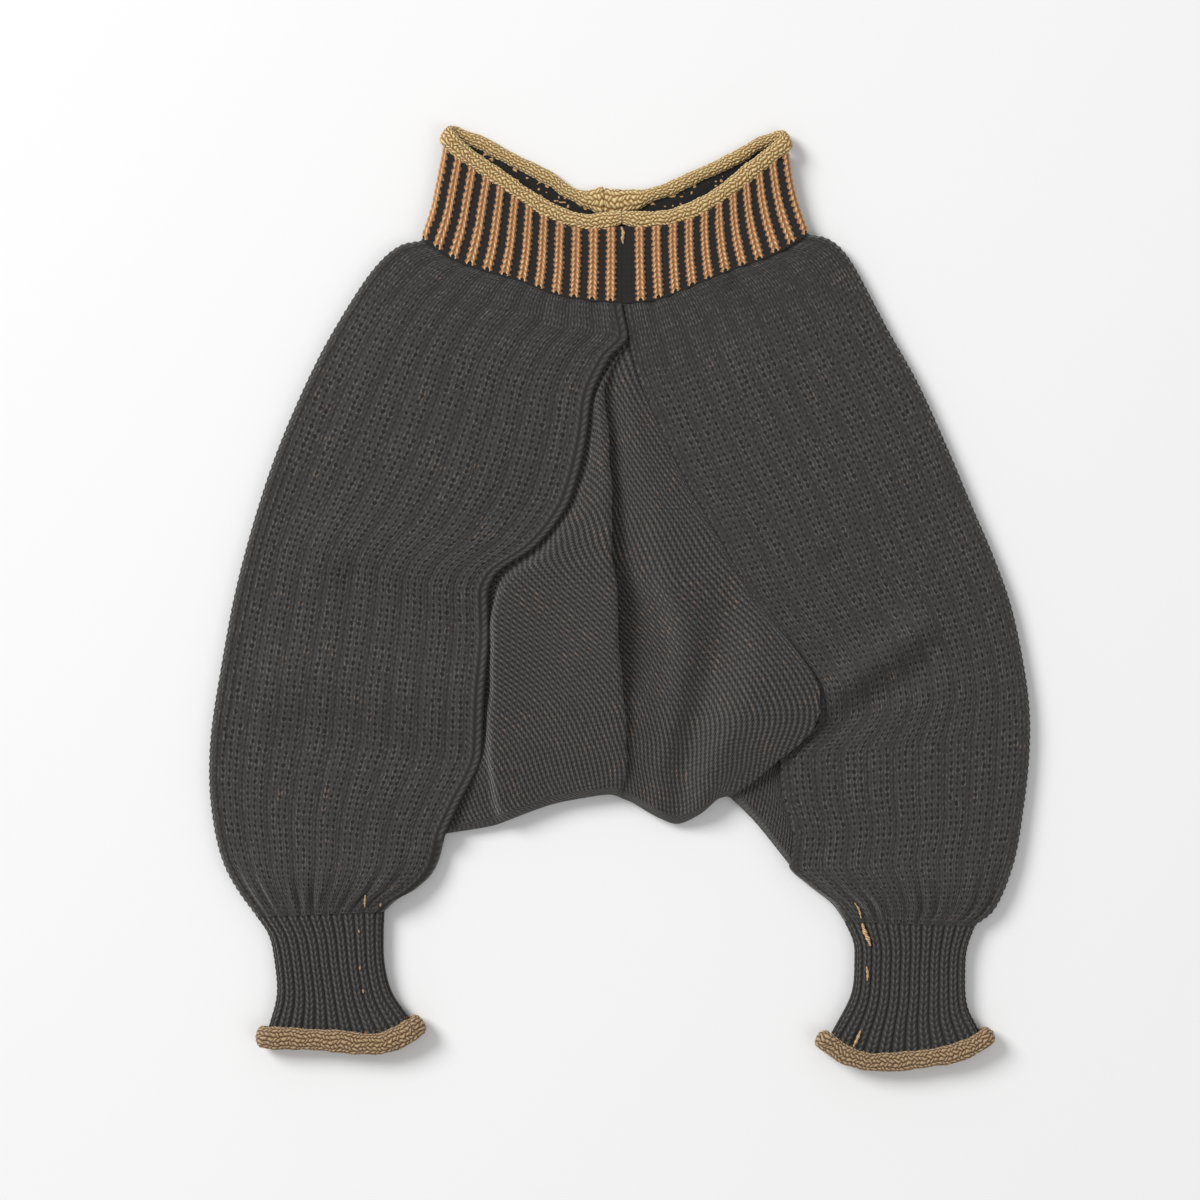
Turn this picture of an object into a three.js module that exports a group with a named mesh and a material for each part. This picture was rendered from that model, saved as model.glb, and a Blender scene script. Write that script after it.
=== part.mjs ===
// Toddler's knitted harem pants, laid flat with the front up.
// Millimetres. +X is the right of the picture, +Y runs towards the waist, +Z is up out of the front.
// Every piece of cloth is a wall that runs over the front, round a fold, and back under itself.
import * as THREE from 'three';

// Driving sizes
const SEAM_GAP = 0.34;
const BODY_CLOTH = 3.2;
const BAND_CLOTH = 3.6;
const CUFF_CLOTH = 3.2;
const BACK_CLOTH = 2.8;
const ROOM_INSIDE = 3.6;
const FOLD_RUN = 4.2;
const LEG_EDGE_HEIGHT = 8;
const BAND_EDGE_HEIGHT = 9;
const CUFF_EDGE_HEIGHT = 8.4;

const LEG_RIBS = { count: 9, depth: 0.9, groove: 0.4 };
const CUFF_RIBS = { count: 13, depth: 0.9, groove: 0.5 };

// Ochre stripes: how many, and the first one's centre and their pitch as shares of the front's width.
// A stripe's crest and foot are shares of the pitch, to each side of its centre.
const BAND_STRIPES = {
  left: { count: 12, first: 0.07, pitch: 0.0845 },
  right: { count: 11, first: 0.101, pitch: 0.089 },
};
const STRIPE = { crest: 0.22, foot: 0.37, rise: 0.9 };
const BAND_SWELL = 0.4;

// A leg's front rises in a dome, calms down towards the outer fold, and stands up along the gusset's seam
const LEG_DOME = { rise: 1.6, start: 0.1 };
const FOLD_CALM = 0.18;
const STANDING_EDGE = { left: 2, right: 0.6, width: 0.12 };

const GUSSET_STEPS = 14;
const GUSSET_START = 126.8;
// From this share of the way down, the gusset's back follows its front's edge at the crotch
const CROTCH_BLEND = 0.5;

// Shares of the way up the waistband, and down a cuff, at which its rows lie
const BAND_ROWS = [0, 0.12, 0.35, 0.6, 0.85, 1];
const CUFF_ROWS = [0, 0.1, 0.3, 0.55, 0.8, 1];

const CHARCOAL = 0x42413e;
const OCHRE = 0xc49862;
const GOLD = 0xbea569;
const TAN = 0x96825f;

// Outer outline of each leg, from the waist seam down to the cuff
const LEG_OUTLINE = {
  left: [
    { x: -99.5, y: 180 }, { x: -110, y: 177.5 }, { x: -122, y: 167.5 }, { x: -144.5, y: 133 },
    { x: -165, y: 91 }, { x: -180.5, y: 49 }, { x: -192, y: 7 }, { x: -200, y: -35 },
    { x: -205.5, y: -77 }, { x: -204.5, y: -105 }, { x: -198, y: -133 }, { x: -182, y: -158.5 },
  ],
  right: [
    { x: 94.5, y: 183 }, { x: 104, y: 181 }, { x: 113, y: 173.5 }, { x: 135.5, y: 133 },
    { x: 151, y: 105 }, { x: 175.5, y: 49 }, { x: 187.5, y: 21 }, { x: 197, y: -7 },
    { x: 204.5, y: -49 }, { x: 205, y: -77 }, { x: 202, y: -105 }, { x: 196.5, y: -134 },
    { x: 187, y: -155 }, { x: 178, y: -163 },
  ],
};

// Inner edge of each leg on the front: the centre seam, the gusset seam, then the inseam to the cuff
const FRONT_SEAM = {
  left: [
    { x: 1, y: 148 }, { x: 2.5, y: 140 }, { x: 4, y: 131.5 }, { x: -5, y: 121 }, { x: -14.5, y: 99.5 },
    { x: -16.5, y: 83 }, { x: -24.5, y: 51 }, { x: -32.5, y: 37.5 }, { x: -42, y: 27 },
    { x: -62.5, y: 12 }, { x: -66, y: 3 }, { x: -65.5, y: -14.5 }, { x: -68, y: -49 },
    { x: -69, y: -75.5 }, { x: -81.5, y: -104 }, { x: -87.5, y: -117.5 }, { x: -90, y: -128 },
    { x: -93.5, y: -136 }, { x: -102, y: -144.5 }, { x: -112, y: -150.5 }, { x: -118, y: -156 },
  ],
  right: [
    { x: 1, y: 148 }, { x: 2.5, y: 140 }, { x: 4, y: 131.5 }, { x: 8.5, y: 114 }, { x: 16.5, y: 94.5 },
    { x: 31.5, y: 62.5 }, { x: 47.5, y: 35 }, { x: 67.5, y: -1 }, { x: 86.5, y: -28 },
    { x: 98, y: -48.5 }, { x: 99, y: -60 }, { x: 90, y: -69 }, { x: 80, y: -79 },
    { x: 81.5, y: -98 }, { x: 86.5, y: -118.5 }, { x: 85, y: -133.5 }, { x: 94.5, y: -143 },
    { x: 106.5, y: -152.5 }, { x: 112.5, y: -161 },
  ],
};

// The same edge on the hidden back, plainer, ending where the front one does
const BACK_SEAM = {
  left: [
    { x: -8, y: 158 }, { x: -5.5, y: 146 }, { x: -2, y: 131.5 }, { x: -18, y: 84 }, { x: -45, y: 26 },
    { x: -63, y: -40 }, { x: -74, y: -85 }, { x: -81.5, y: -104 }, { x: -87.5, y: -117.5 },
    { x: -90, y: -128 }, { x: -93.5, y: -136 }, { x: -102, y: -144.5 }, { x: -112, y: -150.5 },
    { x: -118, y: -156 },
  ],
  right: [
    { x: -8, y: 158 }, { x: -5.5, y: 146 }, { x: -2, y: 131.5 }, { x: 22, y: 84 }, { x: 50, y: 26 },
    { x: 72, y: -40 }, { x: 81.5, y: -98 }, { x: 86.5, y: -118.5 }, { x: 85, y: -133.5 },
    { x: 94.5, y: -143 }, { x: 106.5, y: -152.5 }, { x: 112.5, y: -161 },
  ],
};

// Where rows of cloth start on the leg's inner edge, above and below the gusset
const ABOVE_GUSSET = { front: [148, 140, 131.5], back: [158, 146, 131.5] };
const BELOW_GUSSET = { left: [-128, -138, -146, -151.5, -156], right: [-140, -148, -154.5, -161] };

// Seam between each leg and the waistband, from the centre to the side
const WAIST_SEAM = {
  left: {
    front: [
      { x: 1, y: 148 }, { x: -16, y: 149.5 }, { x: -33, y: 152.5 }, { x: -50, y: 159 },
      { x: -66, y: 163.5 }, { x: -83, y: 169.5 }, { x: -99.5, y: 180 },
    ],
    back: [{ x: -8, y: 158 }, { x: -40, y: 161 }, { x: -83, y: 170 }, { x: -99.5, y: 180 }],
  },
  right: {
    front: [
      { x: 1, y: 148 }, { x: 19, y: 150 }, { x: 36, y: 156.5 }, { x: 53, y: 163.5 },
      { x: 70, y: 169.5 }, { x: 83, y: 175.5 }, { x: 94.5, y: 183 },
    ],
    back: [{ x: -8, y: 158 }, { x: 36, y: 161 }, { x: 83, y: 175.5 }, { x: 94.5, y: 183 }],
  },
};

// Side edge of the waistband, from the waist seam up to the roll
const WAIST_SIDE = {
  left: [{ x: -99.5, y: 180 }, { x: -94, y: 196.5 }, { x: -91.5, y: 208 }, { x: -88.3, y: 225.3 }],
  right: [{ x: 94.5, y: 183 }, { x: 89, y: 198 }, { x: 86, y: 210 }, { x: 84.6, y: 222.5 }],
};

// Cuffs: inner and outer edge from the leg down to the roll, and the bottom edge between them
const CUFF = {
  left: {
    inner: [
      { x: -118, y: -156 }, { x: -118.5, y: -168 }, { x: -118, y: -182 }, { x: -114.5, y: -196 },
      { x: -106, y: -209 },
    ],
    outer: [
      { x: -182, y: -158.5 }, { x: -176, y: -168 }, { x: -173, y: -182 }, { x: -172, y: -198 },
      { x: -176, y: -214 },
    ],
    bottom: [
      { x: -106, y: -209 }, { x: -112.5, y: -214 }, { x: -122, y: -217.5 }, { x: -144, y: -216 },
      { x: -176, y: -214 },
    ],
  },
  right: {
    inner: [
      { x: 112.5, y: -161 }, { x: 117, y: -171.5 }, { x: 117.5, y: -181 }, { x: 116, y: -197 },
      { x: 106, y: -217 },
    ],
    outer: [
      { x: 178, y: -163 }, { x: 174, y: -174.5 }, { x: 173, y: -187.5 }, { x: 174, y: -203 },
      { x: 180, y: -216 },
    ],
    bottom: [
      { x: 106, y: -217 }, { x: 112.5, y: -222.5 }, { x: 121, y: -226.5 }, { x: 133, y: -227.5 },
      { x: 150, y: -226 },
      { x: 168, y: -222.5 }, { x: 180, y: -216 },
    ],
  },
};

// Lengthwise folds of the gusset, left to right. x, y and top are read at these shares of the way down.
// A fold without y runs evenly down to its foot, and one without x follows its leg's seam.
const GUSSET_LEVELS = [0, 0.2, 0.4, 0.6, 0.7, 0.8, 0.9, 1];
const GUSSET_FOLDS = [
  { name: 'left seam', foot: -117.5, rows: 1, top: [8, 8, 8, 7.4, 7.2, 7, 6.8, 7] },
  { name: 'left fold foot', foot: -111, rows: 1,
    x: [2.6, -14.5, -32.5, -62.5, -64.5, -66, -66, -61.5],
    top: [8, 8, 8.2, 7.2, 7, 7, 6.8, 7] },
  { name: 'left fold crest', foot: -107, rows: 3,
    x: [2.8, -11, -27, -56, -57.5, -58, -55.5, -51],
    top: [8, 8.6, 9.2, 11.4, 12, 12, 11.5, 10] },
  { name: 'lip over the valley', foot: -99.5, rows: 1,
    x: [3, -8.5, -8, -7, -5.5, -3.5, -2.5, -1],
    top: [8, 9.8, 11, 11.6, 11.6, 11.6, 11.2, 10.2] },
  { name: 'valley', foot: -100.5, rows: 2,
    x: [3.2, -3.5, -1.5, 1, 3, 4.5, 5.5, 6],
    top: [8, 7.2, 7, 7, 7, 7, 7, 7.4] },
  { name: 'ridge beside the valley', foot: -106, rows: 2,
    x: [3.4, 4.5, 15, 24, 25, 24, 21, 17.5],
    top: [8, 9, 10, 10, 10, 10, 9.8, 9.2] },
  { name: 'broad trough', foot: -112.5, rows: 2,
    x: [3.6, 8.5, 27, 50, 43, 37, 31, 26],
    top: [8, 8.4, 8.8, 7.6, 7.2, 7.2, 7.2, 8] },
  { name: 'bulge', foot: -104, rows: 2,
    x: [3.8, 12, 34, 58, 66, 66.5, 58, 41],
    top: [8, 8.6, 9.4, 10.8, 12.2, 12.4, 12, 10.4] },
  { name: 'right fold crest', rows: 1,
    x: [4, 17, 45, 78, 90.5, 76, 65, 53.5],
    y: [126.8, 77, 25, -27, -52, -68, -80.5, -98],
    top: [8, 8.4, 8.8, 9.6, 10.8, 11.4, 11.4, 10] },
  { name: 'right fold foot', rows: 2,
    x: [4.2, 21, 50, 83, 95, 79, 68, 57],
    y: [126.8, 76, 24, -28, -54, -71.2, -84.5, -100.5],
    top: [8, 8.2, 8.4, 8.4, 8.2, 7.4, 7, 7] },
  { name: 'right seam', foot: -133.5, rows: 1, top: [8, 8, 8, 8, 7.8, 7.4, 7, 7] },
];

// Soft folds of the legs' fronts: a line from start to end, its half width, and its rise or fall
const LEG_FOLDS = {
  left: [
    { name: 'upper trough', x1: -134, y1: 9, x2: -72, y2: -16, half: 9, rise: -1.4 },
    { name: 'swell over it', x1: -140, y1: 32, x2: -78, y2: 14, half: 14, rise: 1.4 },
    { name: 'lower trough', x1: -160, y1: -65, x2: -76, y2: -82, half: 11, rise: -1.2 },
    { name: 'swell between', x1: -165, y1: -36, x2: -80, y2: -50, half: 15, rise: 1.4 },
    { name: 'thigh swell', x1: -115, y1: 118, x2: -70, y2: 70, half: 24, rise: 1 },
    { name: 'puff over the cuff', x1: -180, y1: -140, x2: -118, y2: -140, half: 13, rise: 1.6 },
  ],
  right: [
    { name: 'drag fold', x1: 150, y1: -15, x2: 104, y2: -47, half: 8, rise: 2.2 },
    { name: 'shadow under it', x1: 152, y1: -34, x2: 108, y2: -62, half: 8, rise: -1.2 },
    { name: 'knee shadow', x1: 108, y1: 20, x2: 136, y2: -2, half: 6, rise: -1 },
    { name: 'front gather', x1: 58, y1: 156, x2: 92, y2: 122, half: 5, rise: -1.1 },
    { name: 'side gather', x1: 112, y1: 165, x2: 132, y2: 128, half: 6, rise: -1 },
    { name: 'thigh swell', x1: 66, y1: 110, x2: 120, y2: 60, half: 24, rise: 1 },
    { name: 'puff over the cuff', x1: 112, y1: -140, x2: 180, y2: -143, half: 13, rise: 1.6 },
  ],
};

// Rolled edges: half widths of their oval sections on the front and the back, and their half height
const WAIST_ROLL = { front: 4.2, back: 3.4, height: 2.7 };
const CUFF_ROLL = {
  left: { front: 5.4, back: 5.4, height: 3 },
  right: { front: 4.6, back: 4.6, height: 3 },
};
const CUFF_ROLL_HEIGHT = { front: 9.2, back: 2.8 };
const ROLL_CLEARANCE = 0.3;
const ROLL_STEPS = { front: 16, back: 12 };

// Centre lines of the waist roll, from the centre out to the corner on the front, and back underneath
const WAIST_ROLL_LINE = {
  left: {
    front: [
      { x: 0.8, y: 190.2, z: 8 }, { x: -2.5, y: 190.2, z: 8 }, { x: -9, y: 189.3, z: 8 },
      { x: -18, y: 188.9, z: 8 },
      { x: -34, y: 193.8, z: 8 }, { x: -46.5, y: 201.4, z: 8.1 }, { x: -59.5, y: 210.2, z: 8.3 },
      { x: -72, y: 219, z: 8.6 }, { x: -80, y: 224.8, z: 8.9 }, { x: -84.3, y: 229.2, z: 9 },
    ],
    back: [
      { x: -80.4, y: 233.4, z: 2.5 }, { x: -70, y: 229.5, z: 2.5 }, { x: -58, y: 223, z: 2.5 },
      { x: -46, y: 217, z: 2.5 }, { x: -34, y: 210.7, z: 2.5 }, { x: -26, y: 204.8, z: 2.5 },
      { x: -19, y: 202.2, z: 2.5 }, { x: -13, y: 202.6, z: 2.5 }, { x: -8.2, y: 202.6, z: 2.5 },
    ],
  },
  right: {
    front: [
      { x: 1.2, y: 190.2, z: 8 }, { x: 4.5, y: 190.2, z: 8 }, { x: 11, y: 189.9, z: 8 },
      { x: 25, y: 191.2, z: 8 },
      { x: 39, y: 196, z: 8.1 }, { x: 53, y: 204.6, z: 8.3 }, { x: 67, y: 215.8, z: 8.6 },
      { x: 75.5, y: 222.4, z: 8.9 }, { x: 80.3, y: 226.3, z: 9 },
    ],
    back: [
      { x: 77.5, y: 231.3, z: 2.5 }, { x: 70, y: 229, z: 2.5 }, { x: 62, y: 224, z: 2.5 },
      { x: 50, y: 217.8, z: 2.5 }, { x: 38, y: 212.5, z: 2.5 }, { x: 26, y: 206.8, z: 2.5 },
      { x: 14, y: 203.2, z: 2.5 }, { x: 0, y: 202.6, z: 2.5 }, { x: -7.8, y: 202.6, z: 2.5 },
    ],
  },
};

// Small helpers

const mix = (a, b, share) => a + (b - a) * share;
const mixPoint = (a, b, share) => ({ x: mix(a.x, b.x, share), y: mix(a.y, b.y, share) });
const distance = (a, b) => Math.hypot(a.x - b.x, a.y - b.y);
const ease = (share) => {
  const s = Math.min(1, Math.max(0, share));
  return s * s * (3 - 2 * s);
};

// Smooth value at a key through a column of numbers, without overshoot
function through(keys, values, at) {
  const last = keys.length - 1;
  const sign = Math.sign(keys[last] - keys[0]);
  let i = 0;
  while (i < last - 1 && (at - keys[i + 1]) * sign > 0) i += 1;
  const chord = (k) => (values[k + 1] - values[k]) / (keys[k + 1] - keys[k]);
  const slope = (k) => {
    if (k === 0) return chord(0);
    if (k === last) return chord(last - 1);
    const before = chord(k - 1);
    const after = chord(k);
    return before * after <= 0 ? 0 : (2 * before * after) / (before + after);
  };
  const width = keys[i + 1] - keys[i];
  const s = (at - keys[i]) / width;
  const bend = s * s * (3 - 2 * s);
  const start = s * (1 - s) * (1 - s) * width * slope(i);
  const end = s * s * (s - 1) * width * slope(i + 1);
  return mix(values[i], values[i + 1], bend) + start + end;
}

const xAtHeight = (table, y) => through(table.map((row) => row.y), table.map((row) => row.x), y);

// A smooth line through the rows of a table, read by its share of the length
function smoothLine(table) {
  const curve = new THREE.CatmullRomCurve3(
    table.map((row) => new THREE.Vector3(row.x, row.y, row.z ?? 0)), false, 'centripetal');
  curve.arcLengthDivisions = 400;
  return (share) => curve.getPointAt(Math.min(1, Math.max(0, share)));
}

// Share of the length at each point of a row of points
function shares(points) {
  const run = [0];
  for (let i = 1; i < points.length; i += 1) run.push(run[i - 1] + distance(points[i - 1], points[i]));
  return run.map((length) => length / run[run.length - 1]);
}

// A row of points moved sideways, to the left of its direction when the amount is positive
function shifted(points, amount) {
  return points.map((point, i) => {
    const before = points[Math.max(0, i - 1)];
    const after = points[Math.min(points.length - 1, i + 1)];
    const length = distance(before, after);
    return {
      x: point.x - (amount * (after.y - before.y)) / length,
      y: point.y + (amount * (after.x - before.x)) / length,
    };
  });
}

// Point at a share along a row of points, straight between them
function between(points, share) {
  const place = Math.min(1, Math.max(0, share)) * (points.length - 1);
  const i = Math.min(points.length - 2, Math.floor(place));
  return mixPoint(points[i], points[i + 1], place - i);
}

// Plan of a piece between its inner and outer edge, with curved first and last rows
function planBetween(inner, outer, first, last) {
  const down = shares(inner);
  const bow = (line, u) => {
    const point = line(u);
    const straight = mixPoint(line(0), line(1), u);
    return { x: point.x - straight.x, y: point.y - straight.y };
  };
  return (u, row) => {
    const v = down[row];
    const base = mixPoint(inner[row], outer[row], u);
    const head = bow(first, u);
    const foot = bow(last, u);
    return {
      x: base.x + head.x * (1 - v) + foot.x * v,
      y: base.y + head.y * (1 - v) + foot.y * v,
    };
  };
}

// Closed body from a grid of outer points and a grid of inner points with the same number of rows
function wallGeometry(outer, inner) {
  const positions = [];
  const faces = [];
  const places = [];
  const indexGrid = (grid) => grid.map((row) => row.map((point) => {
    positions.push(point.x, point.y, point.z);
    places.push(point.place);
    return places.length - 1;
  }));
  const a = indexGrid(outer);
  const b = indexGrid(inner);
  const apart = (p, q) => Math.hypot(
    positions[3 * p] - positions[3 * q],
    positions[3 * p + 1] - positions[3 * q + 1],
    positions[3 * p + 2] - positions[3 * q + 2],
  );
  const quad = (p, q, r, s) => {
    if (apart(q, s) < apart(p, r)) faces.push(p, q, s, q, r, s);
    else faces.push(p, q, r, p, r, s);
  };
  const sheet = (grid, outwards) => {
    for (let j = 0; j + 1 < grid.length; j += 1) {
      for (let i = 0; i + 1 < grid[j].length; i += 1) {
        const corners = [grid[j][i], grid[j + 1][i], grid[j + 1][i + 1], grid[j][i + 1]];
        if (outwards) quad(...corners);
        else quad(corners[3], corners[2], corners[1], corners[0]);
      }
    }
  };
  sheet(a, true);
  sheet(b, false);
  const zip = (p, q, placeOf) => {
    let i = 0;
    let k = 0;
    while (i + 1 < p.length || k + 1 < q.length) {
      const stepP = i + 1 < p.length
        && (k + 1 >= q.length || placeOf(p, i + 1) <= placeOf(q, k + 1));
      if (stepP) {
        faces.push(p[i], p[i + 1], q[k]);
        i += 1;
      } else {
        faces.push(p[i], q[k + 1], q[k]);
        k += 1;
      }
    }
  };
  const end = a.length - 1;
  const alongSection = (line, i) => places[line[i]];
  const backAlongSection = (line, i) => -places[line[i]];
  const downRows = (line, i) => i;
  zip(a[0], b[0], alongSection);
  zip([...a[end]].reverse(), [...b[end]].reverse(), backAlongSection);
  zip(a.map((row) => row[0]).reverse(), b.map((row) => row[0]).reverse(), downRows);
  zip(a.map((row) => row[row.length - 1]), b.map((row) => row[row.length - 1]), downRows);
  const geometry = new THREE.BufferGeometry();
  geometry.setAttribute('position', new THREE.Float32BufferAttribute(positions, 3));
  geometry.setIndex(faces);
  geometry.computeVertexNormals();
  return geometry;
}

// One row of a folded wall: over the front, round the outer fold and back underneath.
// The inner edge stays open and flat, or curls over to meet the back where closed is 1.
// Columns are spread from the inner edge to the start of the fold, or as the piece's own stretch says.
function foldedRow(spec, row, depth) {
  const { front, back, top, cloth } = spec;
  const width = distance(front(0, row), front(1, row));
  const turn = 1 - FOLD_RUN / width;
  const foldCentre = { front: front(turn, row), back: back(turn, row) };
  const foldTip = front(1, row);
  const halfHeight = spec.edgeHeight / 2;
  const points = [];
  const wall = depth > 0 ? cloth : 0;
  const topAt = (point, u, sink) => {
    const height = top(point, u, row);
    if (wall > 0) return Math.min(height - wall, BACK_CLOTH + ROOM_INSIDE);
    return height - sink;
  };
  const edge = spec.edgeSteps ?? 0;
  const inset = edge ? FOLD_RUN / width : 0;
  const closed = edge ? spec.closed(row) : 0;
  const lastAngle = Math.acos(SEAM_GAP / 2 / halfHeight);
  const curl = (side, step) => {
    const isFront = side === 'front';
    const plan = isFront ? front : back;
    const share = step / edge;
    const angle = share * lastAngle;
    const start = plan(inset, row);
    const tip = plan(0, row);
    const reach = mix(share, Math.sin(angle) * (1 - (wall / FOLD_RUN)), closed);
    const point = mixPoint(start, tip, reach);
    const round = (halfHeight - wall) * Math.cos(angle);
    const flat = isFront ? topAt(point, inset * (1 - share), 0) : wall && BACK_CLOTH;
    const curled = isFront ? halfHeight + round : halfHeight - round;
    return { ...point, z: mix(flat, curled, closed), place: isFront ? -share : 3 + share };
  };
  for (let step = edge; step > 0; step -= 1) points.push(curl('front', step));
  for (const column of spec.columns[depth > 0 ? 'inside' : 'outside']) {
    const u = spec.stretch ? spec.stretch(column.u, turn) : mix(inset, turn, column.u);
    const point = front(u, row);
    points.push({ ...point, z: topAt(point, u, column.sink ?? 0), place: column.u });
  }
  const startHeight = points[points.length - 1].z;
  const steps = spec.foldSteps;
  for (let step = 1; step < steps; step += 1) {
    const angle = (Math.PI * step) / steps;
    const under = (1 - Math.cos(angle)) / 2;
    const centre = mixPoint(foldCentre.front, foldCentre.back, under);
    const reach = Math.sin(angle) * (1 - wall / FOLD_RUN);
    const low = wall && BACK_CLOTH;
    points.push({
      x: centre.x + (foldTip.x - centre.x) * reach,
      y: centre.y + (foldTip.y - centre.y) * reach,
      z: mix(startHeight, low, under),
      place: 1 + step / steps,
    });
  }
  for (const column of [...spec.columns.under].reverse()) {
    const u = spec.stretch ? spec.stretch(column.u, turn) : mix(inset, turn, column.u);
    points.push({ ...back(u, row), z: wall && BACK_CLOTH, place: 3 - column.u });
  }
  for (let step = 1; step <= edge; step += 1) points.push(curl('back', step));
  return points;
}

function foldedWall(spec) {
  const outer = [];
  const inner = [];
  for (let row = 0; row < spec.rows; row += 1) {
    outer.push(foldedRow(spec, row, 0));
    inner.push(foldedRow(spec, row, 1));
  }
  return wallGeometry(outer, inner);
}

const evenColumns = (count) => Array.from({ length: count + 1 }, (_, i) => ({ u: i / count }));

// Columns for raised ribs: a narrow groove, then a broad crest, repeated
function ribColumns({ count, depth, groove }) {
  const columns = [{ u: 0 }];
  for (let rib = 1; rib < count; rib += 1) {
    const middle = rib / count;
    const half = groove / 2 / count;
    columns.push({ u: middle - half }, { u: middle, sink: depth }, { u: middle + half });
  }
  columns.push({ u: 1 });
  return columns;
}

// Rows of the leg's inner edge: over the gusset, beside it and below it
function edgeHeights(side, face) {
  const foot = GUSSET_FOLDS[side === 'left' ? 0 : GUSSET_FOLDS.length - 1].foot;
  const beside = Array.from({ length: GUSSET_STEPS + 1 },
    (_, k) => mix(GUSSET_START, foot, k / GUSSET_STEPS));
  return [...ABOVE_GUSSET[face], ...beside, ...BELOW_GUSSET[side]];
}

function seamPoints(side, face) {
  const table = (face === 'front' ? FRONT_SEAM : BACK_SEAM)[side];
  return edgeHeights(side, face).map((y) => ({ x: xAtHeight(table, y), y }));
}

// Height of the soft folds of a leg's front at a point
function foldRise(folds, point) {
  let rise = 0;
  for (const fold of folds) {
    const dx = fold.x2 - fold.x1;
    const dy = fold.y2 - fold.y1;
    const length = Math.hypot(dx, dy);
    const along = ((point.x - fold.x1) * dx + (point.y - fold.y1) * dy) / (length * length);
    const aside = Math.abs((point.x - fold.x1) * dy - (point.y - fold.y1) * dx) / length;
    const past = Math.max(0, -along, along - 1) * length;
    const off = Math.hypot(aside, past) / fold.half;
    rise += fold.rise * Math.exp(-off * off);
  }
  return rise;
}

const outwards = { left: 1, right: -1 };

function legMesh(side) {
  const seam = { front: seamPoints(side, 'front'), back: seamPoints(side, 'back') };
  const outline = smoothLine(LEG_OUTLINE[side]);
  const outer = shares(seam.front).map((share) => outline(share));
  const cuffTop = smoothLine([CUFF[side].inner[0], CUFF[side].outer[0]]);
  const plan = {};
  for (const face of ['front', 'back']) {
    const inner = shifted(seam[face], -outwards[side] * (SEAM_GAP / 2));
    plan[face] = planBetween(inner, outer, smoothLine(WAIST_SEAM[side][face]), cuffTop);
  }
  const gussetEnd = ABOVE_GUSSET.front.length + GUSSET_STEPS;
  const rows = seam.front.length;
  const settle = (point, row) => {
    if (row === 0) return { x: point.x, y: point.y - SEAM_GAP };
    if (row === rows - 1) return { x: point.x, y: point.y + SEAM_GAP / 2 };
    return point;
  };
  return foldedWall({
    rows,
    cloth: BODY_CLOTH,
    edgeHeight: LEG_EDGE_HEIGHT,
    edgeSteps: 3,
    foldSteps: 6,
    closed: (row) => (row > gussetEnd ? 1 : 0),
    columns: {
      outside: ribColumns(LEG_RIBS),
      inside: evenColumns(9),
      under: evenColumns(7),
    },
    front: (u, row) => settle(plan.front(u, row), row),
    back: (u, row) => settle(plan.back(u, row), row),
    top: (point, u, row) => {
      const dome = LEG_DOME.rise * Math.sin(Math.PI * mix(LEG_DOME.start, 1, Math.min(1, u)));
      const calm = ease((1 - u) / FOLD_CALM);
      const lift = row > gussetEnd ? 0 : STANDING_EDGE[side] * (1 - ease(u / STANDING_EDGE.width));
      return LEG_EDGE_HEIGHT + (dome + foldRise(LEG_FOLDS[side], point)) * calm + lift;
    },
  });
}

// The gusset's left or right edge, half a gap away from its leg's edge
function gussetEdge(fold, face, side) {
  const table = (face === 'front' ? FRONT_SEAM : BACK_SEAM)[side];
  const seam = Array.from({ length: GUSSET_STEPS + 1 }, (_, k) => {
    const y = mix(GUSSET_START, fold.foot, k / GUSSET_STEPS);
    return { x: xAtHeight(table, y), y };
  });
  return shifted(seam, outwards[side] * (SEAM_GAP / 2));
}

function foldLine(fold) {
  return Array.from({ length: GUSSET_STEPS + 1 }, (_, k) => {
    const share = k / GUSSET_STEPS;
    const y = fold.y ? through(GUSSET_LEVELS, fold.y, share) : mix(GUSSET_START, fold.foot, share);
    return { x: through(GUSSET_LEVELS, fold.x, share), y };
  });
}

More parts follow.
